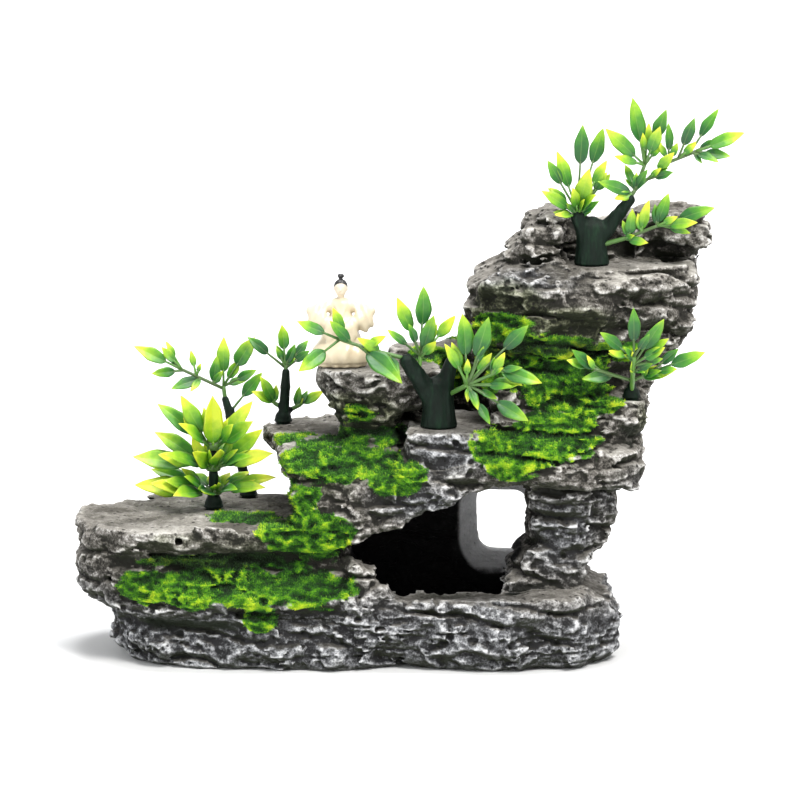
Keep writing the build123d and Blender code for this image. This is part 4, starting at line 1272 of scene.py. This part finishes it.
# --- Materials ----------------------------------------------------------------------------------
class Nodes:
    """A small helper for building a node material."""

    def __init__(self, name):
        self.material = bpy.data.materials.new(name)
        self.material.use_nodes = True
        self.tree = self.material.node_tree
        self.shader = self.tree.nodes["Principled BSDF"]

    def add(self, kind, **settings):
        node = self.tree.nodes.new(kind)
        for key, value in settings.items():
            setattr(node, key, value)
        return node

    def link(self, out, into):
        self.tree.links.new(out, into)

    def feed(self, value, socket):
        if isinstance(value, bpy.types.NodeSocket):
            self.link(value, socket)
        elif isinstance(value, tuple):
            socket.default_value = (*value, 1)
        else:
            socket.default_value = value

    def attribute(self, name):
        return self.add("ShaderNodeAttribute", attribute_name=name).outputs["Fac"]

    def stretched(self, stretch):
        """The object's own coordinates, scaled along each axis."""
        mapping = self.add("ShaderNodeMapping")
        mapping.inputs["Scale"].default_value = stretch
        self.link(self.add("ShaderNodeTexCoord").outputs["Object"], mapping.inputs["Vector"])
        return mapping.outputs["Vector"]

    def noise(self, scale, detail=4.0, roughness=0.6, stretch=(1, 1, 1), kind="FBM"):
        """Noise in the object's own coordinates, scale in cells per metre."""
        node = self.add("ShaderNodeTexNoise", noise_type=kind)
        node.inputs["Scale"].default_value = scale
        node.inputs["Detail"].default_value = detail
        node.inputs["Roughness"].default_value = roughness
        self.link(self.stretched(stretch), node.inputs["Vector"])
        return node.outputs["Fac"]

    def cells(self, scale, stretch=(1, 1, 1), feature="F1"):
        node = self.add("ShaderNodeTexVoronoi", feature=feature)
        node.inputs["Scale"].default_value = scale
        self.link(self.stretched(stretch), node.inputs["Vector"])
        return node.outputs["Distance"]

    def ramp(self, value, stops):
        """A colour ramp from stops of (place, colour)."""
        node = self.add("ShaderNodeValToRGB")
        elements = node.color_ramp.elements
        elements[0].position, elements[0].color = stops[0][0], (*stops[0][1], 1)
        elements[1].position, elements[1].color = stops[-1][0], (*stops[-1][1], 1)
        for position, colour in stops[1:-1]:
            elements.new(position).color = (*colour, 1)
        self.link(value, node.inputs["Fac"])
        return node.outputs["Color"]

    def mix(self, factor, a, b):
        node = self.add("ShaderNodeMix", data_type="RGBA")
        factor_socket, a_socket, b_socket = node.inputs["Factor"], node.inputs[6], node.inputs[7]
        for value, socket in ((factor, factor_socket), (a, a_socket), (b, b_socket)):
            self.feed(value, socket)
        return node.outputs[2]

    def maths(self, operation, a, b=0.5):
        node = self.add("ShaderNodeMath", operation=operation)
        for value, socket in zip((a, b), node.inputs):
            self.feed(value, socket)
        return node.outputs[0]

    def times(self, value, factor):
        return self.maths("MULTIPLY", value, factor)

    def weigh(self, base, *layers):
        """The base plus layers of (value, weight) or (value, weight, value that adds nothing)."""
        for value, weight, *centre in layers:
            if centre:
                value = self.maths("SUBTRACT", value, centre[0])
            base = self.maths("ADD", base, self.times(value, weight))
        return base

    def span(self, value, low, high, to_low=0.0, to_high=1.0):
        node = self.add("ShaderNodeMapRange", interpolation_type="SMOOTHSTEP")
        self.link(value, node.inputs["Value"])
        ends = {"From Min": low, "From Max": high, "To Min": to_low, "To Max": to_high}
        for key, number in ends.items():
            node.inputs[key].default_value = number
        return node.outputs["Result"]

    def up(self):
        """The z part of the surface's normal."""
        split = self.add("ShaderNodeSeparateXYZ")
        self.link(self.add("ShaderNodeNewGeometry").outputs["Normal"], split.inputs[0])
        return split.outputs["Z"]

    def bump(self, height, distance, strength=1.0, after=None):
        node = self.add("ShaderNodeBump")
        node.inputs["Distance"].default_value = distance
        node.inputs["Strength"].default_value = strength
        self.link(height, node.inputs["Height"])
        if after:
            self.link(after, node.inputs["Normal"])
        return node.outputs["Normal"]

    def finish(self, colour, roughness, normal=None):
        self.feed(colour, self.shader.inputs["Base Color"])
        self.feed(roughness, self.shader.inputs["Roughness"])
        if normal:
            self.link(normal, self.shader.inputs["Normal"])
        return self.material


def rock_material():
    """Grey cast resin, dry-brushed pale on the crests, darkened in the hollows as painted shade, with
    painted light on the tops and on the window's bevel.
    """
    n = Nodes("painted_rock")
    crest = n.attribute("crest")
    mottle = n.attribute("mottle")
    crust = n.noise(420, 8, 0.62, (1, 1, 1.5), "RIDGED_MULTIFRACTAL")
    grain = n.noise(1500, 4, 0.7)
    blotch = n.noise(130, 5, 0.65, (1, 1, 1.8))
    pits = n.span(n.cells(360), 0.12, 0.26)
    up = n.up()
    top = n.span(up, 0.55, 0.92)
    underside_painted_shade = n.span(up, -0.1, -0.7)
    height = n.weigh(
        n.maths("ADD", crest, 0.045),
        (crust, 0.50, 0.5), (blotch, 0.40, 0.5), (grain, 1.05, 0.5), (mottle, 0.12, 0.5),
    )
    stone = n.ramp(height, [
        (0.20, (0.017, 0.016, 0.013)), (0.37, (0.064, 0.059, 0.051)), (0.50, (0.145, 0.136, 0.122)),
        (0.63, (0.27, 0.257, 0.238)), (0.84, (0.63, 0.615, 0.59)),
    ])
    cool = n.ramp(height, [
        (0.16, (0.017, 0.017, 0.018)), (0.34, (0.064, 0.065, 0.068)), (0.47, (0.145, 0.148, 0.155)),
        (0.60, (0.30, 0.305, 0.315)), (0.82, (0.63, 0.635, 0.65)),
    ])
    stone = n.mix(n.attribute("cool"), stone, cool)
    # A green-brown wash, darker than the stone, partly as painted shade.
    olive_wash_and_painted_shade = n.ramp(height, [
        (0.20, (0.006, 0.008, 0.003)), (0.45, (0.040, 0.046, 0.020)), (0.62, (0.115, 0.125, 0.065)),
        (0.85, (0.34, 0.35, 0.24)),
    ])
    stone = n.mix(n.times(n.attribute("olive_wash_and_painted_shade"), 0.8), stone, olive_wash_and_painted_shade)
    # Upward faces get a calmer, warmer paint of their own, painted lighter than the sides as painted
    # top light.
    calm = n.weigh(n.times(height, 0.55), (mottle, 0.4))
    tops_paint_and_painted_light = n.ramp(calm, [
        (0.20, (0.085, 0.078, 0.066)), (0.5, (0.265, 0.250, 0.225)), (0.8, (0.56, 0.54, 0.50)),
    ])
    plain = n.maths("SUBTRACT", 0.9, n.times(n.attribute("cool"), 0.55))
    colour = n.mix(n.times(top, plain), stone, tops_paint_and_painted_light)
    # Painted shade: faces that look down are darkened towards olive-black.
    colour = n.mix(n.times(underside_painted_shade, 0.8), colour, (0.014, 0.017, 0.007))
    # Painted shade: the small pits are painted near-black.
    colour = n.mix(n.times(n.maths("SUBTRACT", 1.0, pits), 0.75), colour, (0.012, 0.011, 0.010))

    fibres = n.noise(1500, 4, 0.75)
    clumps = n.noise(120, 5, 0.65, (1, 1, 1.7))
    mixed = n.weigh(n.times(fibres, 0.3), (clumps, 0.55), (crest, 0.45, 0.5))
    green = n.ramp(mixed, [
        (0.28, (0.004, 0.018, 0.002)), (0.40, (0.015, 0.075, 0.004)), (0.50, (0.075, 0.24, 0.008)),
        (0.62, (0.30, 0.48, 0.012)), (0.74, (0.60, 0.66, 0.03)),
    ])
    edge = n.weigh(n.attribute("moss"), (fibres, 1.1, 0.5))
    colour = n.mix(n.span(edge, 0.22, 0.66), colour, green)
    # Painted shade: near-black where the rock closes round a point.
    colour = n.mix(n.times(n.attribute("closed"), 0.7), colour, (0.007, 0.009, 0.004))
    colour = n.mix(n.times(n.attribute("shade"), 0.85), colour, (0.005, 0.009, 0.003))
    # The window's bevel: smooth grey casting, painted pale as painted light where it lies in shade.
    rim_grey_with_painted_light = n.ramp(n.weigh(n.times(grain, 0.4), (blotch, 0.6)), [
        (0.3, (0.36, 0.36, 0.365)), (0.5, (0.52, 0.52, 0.525)), (0.7, (0.68, 0.68, 0.685)),
    ])
    colour = n.mix(n.attribute("rim"), colour, rim_grey_with_painted_light)
    # Painted shade: the walls inside the cave are painted near-black.
    colour = n.mix(n.attribute("cave"), colour, (0.0025, 0.0025, 0.0025))
    shape = n.bump(grain, 0.0004, 0.7)
    shape = n.bump(crust, 0.0009, 0.9, shape)
    shape = n.bump(pits, 0.0006, 0.8, shape)
    n.shader.inputs["Specular IOR Level"].default_value = 0.25
    return n.finish(colour, 0.92, shape)


def moss_material():
    """Flock in greens that turn yellow in places."""
    n = Nodes("moss_flock")
    clumps = n.noise(120, 5, 0.65, (1, 1, 1.7))
    value = n.weigh(
        n.maths("SUBTRACT", n.times(clumps, 0.85), 0.14),
        (n.attribute("tone"), 0.16), (n.attribute("thin"), 0.22), (n.attribute("tip"), 0.08),
        # crest is lower in the recesses, which paints shade into the moss there.
        (n.attribute("crest"), 0.40, 0.5),
    )
    colour = n.ramp(value, [
        (0.28, (0.003, 0.016, 0.002)), (0.41, (0.014, 0.080, 0.004)), (0.51, (0.075, 0.27, 0.008)),
        (0.61, (0.32, 0.50, 0.012)), (0.74, (0.74, 0.74, 0.04)),
    ])
    colour = n.mix(n.times(n.attribute("shade"), 0.75), colour, (0.004, 0.018, 0.002))
    return n.finish(colour, 0.85)


def leaf_material():
    """Moulded leaves: deep green at the stalk, lime at the tip, pale along the rib and edge."""
    n = Nodes("leaf_paint")
    across = n.maths("ABSOLUTE", n.attribute("across"))
    value = n.weigh(
        n.times(n.attribute("along"), 0.62),
        (n.attribute("tone"), 0.44), (n.noise(240, 4, 0.6), 0.45, 0.5),
    )
    colour = n.ramp(value, [
        (0.05, (0.006, 0.045, 0.014)), (0.32, (0.016, 0.110, 0.016)), (0.52, (0.065, 0.240, 0.014)),
        (0.70, (0.25, 0.45, 0.018)), (0.90, (0.62, 0.70, 0.04)),
    ])
    rib = n.span(across, 0.10, 0.0)
    edge = n.span(across, 0.90, 1.0)
    veins = n.times(n.maths("ADD", rib, edge), 0.12)
    colour = n.mix(veins, colour, (0.50, 0.66, 0.18))
    shader = n.shader.inputs
    shader["Subsurface Weight"].default_value = 0.12
    shader["Subsurface Radius"].default_value = (0.4, 1.0, 0.1)
    shader["Subsurface Scale"].default_value = 0.002
    return n.finish(colour, 0.42, n.bump(n.noise(900, 3, 0.5), 0.00015, 0.5))


def stem_material():
    """Nearly black green plastic with a fine grain."""
    n = Nodes("stem_plastic")
    grain = n.noise(500, 5, 0.65, (1, 1, 0.22))
    colour = n.ramp(grain, [
        (0.3, (0.001, 0.004, 0.002)), (0.55, (0.002, 0.010, 0.005)), (0.75, (0.007, 0.030, 0.012)),
    ])
    n.shader.inputs["Specular IOR Level"].default_value = 0.2
    return n.finish(colour, 0.6, n.bump(grain, 0.0005, 0.8))


def glaze_material(name, pale, warm):
    """Glazed earthenware with a little warmer colour in soft clouds."""
    n = Nodes(name)
    cloud = n.noise(160, 3, 0.5)
    colour = n.mix(n.span(cloud, 0.5, 0.85, 0.0, 0.35), pale, warm)
    n.shader.inputs["Coat Weight"].default_value = 0.25
    return n.finish(colour, 0.38, n.bump(n.noise(700, 2, 0.5), 0.0001, 0.3))


def floor_material():
    n = Nodes("pale_floor")
    return n.finish((0.86, 0.865, 0.87), 0.6)


# --- Stage --------------------------------------------------------------------------------------
def build_stage():
    """A pale round floor, turned up at its rim, wide enough for the camera to stand on."""
    flat, bend, height, sides = 1400.0, 350.0, 550.0, 96
    profile = [(flat * step / 4, 0.0) for step in range(1, 4)]
    for step in range(9):
        angle = math.radians(90 * step / 8)
        profile.append((flat + bend * math.sin(angle), bend * (1 - math.cos(angle))))
    profile.append((flat + bend, height))
    turns = 2 * math.pi * np.arange(sides) / sides
    rings = [
        np.stack([radius * np.cos(turns), radius * np.sin(turns), np.full(sides, z)], axis=1)
        for radius, z in profile
    ]
    middle = len(profile) * sides
    grid = np.arange(middle).reshape(len(profile), sides)
    beside = np.roll(grid, -1, axis=1)
    walls = np.stack([grid[1:], beside[1:], beside[:-1], grid[:-1]], axis=-1).reshape(-1, 4)
    fan = np.stack([np.full(sides, middle), grid[0], beside[0]], axis=-1)
    floor = mesh_object("floor", np.concatenate([*rings, [(0.0, 0.0, 0.0)]]), [walls, fan])
    floor.data.materials.append(floor_material())


def area_light(name, position, target, size, power, colour=(1, 1, 1)):
    lamp = bpy.data.lights.new(name, "AREA")
    lamp.shape = "DISK"
    lamp.size = size
    lamp.energy = power
    lamp.color = colour
    thing = bpy.data.objects.new(name, lamp)
    thing.location = position
    thing.rotation_euler = (Vector(target) - Vector(position)).to_track_quat("-Z", "Y").to_euler()
    bpy.context.scene.collection.objects.link(thing)


def build_lights():
    centre = (0.01, 0, 0.08)
    area_light("key_light", (0.50, -0.75, 1.15), centre, 0.50, 20.0, (1.0, 0.985, 0.96))
    area_light("fill_light", (-0.95, -0.8, 0.55), centre, 0.9, 4.0, (0.95, 0.98, 1.0))
    area_light("top_light", (0.05, 0.15, 1.3), centre, 0.6, 14.0)
    area_light("backdrop_light", (0.0, 0.9, 1.0), (0.0, 2.0, 0.0), 0.8, 16.0)
    world = bpy.data.worlds.new("studio")
    world.use_nodes = True
    background = world.node_tree.nodes["Background"].inputs
    background["Color"].default_value = (1.0, 1.0, 1.0, 1)
    background["Strength"].default_value = 0.55
    bpy.context.scene.world = world


def build_camera():
    """A long lens, level with the ornament and tipped down by ten degrees."""
    tilt = math.radians(10)
    distance = 1.3
    view_width = 0.2667
    target = Vector((0.0127, 0.0, 0.0836))
    camera_data = bpy.data.cameras.new("camera")
    camera_data.sensor_width = 36
    camera_data.lens = 36 * distance / view_width
    camera = bpy.data.objects.new("camera", camera_data)
    camera.location = target + distance * Vector((0, -math.cos(tilt), math.sin(tilt)))
    camera.rotation_euler = (math.radians(90) - tilt, 0, 0)
    bpy.context.scene.collection.objects.link(camera)
    bpy.context.scene.camera = camera


# --- Assembly -----------------------------------------------------------------------------------
def place(piece, body, node, slot, material):
    """Gives a piece its paint, ties it to its body and hides the CAD node it stands for."""
    piece.data.materials.append(material)
    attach(piece, body)
    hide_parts(node)


def build_rock():
    paint = rock_material()
    pieces = sculpt_rock()
    for name, piece in pieces:
        place(piece, "rockery", name, "cast_resin", paint)
    flock = moss_material()
    for tufts in moss_tufts(pieces):
        tufts.data.materials.append(flock)
        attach(tufts, "rockery")


bpy.context.scene.view_settings.view_transform = "Standard"
build_camera()
build_stage()
build_lights()
build_rock()
build_plants()
build_figurine()
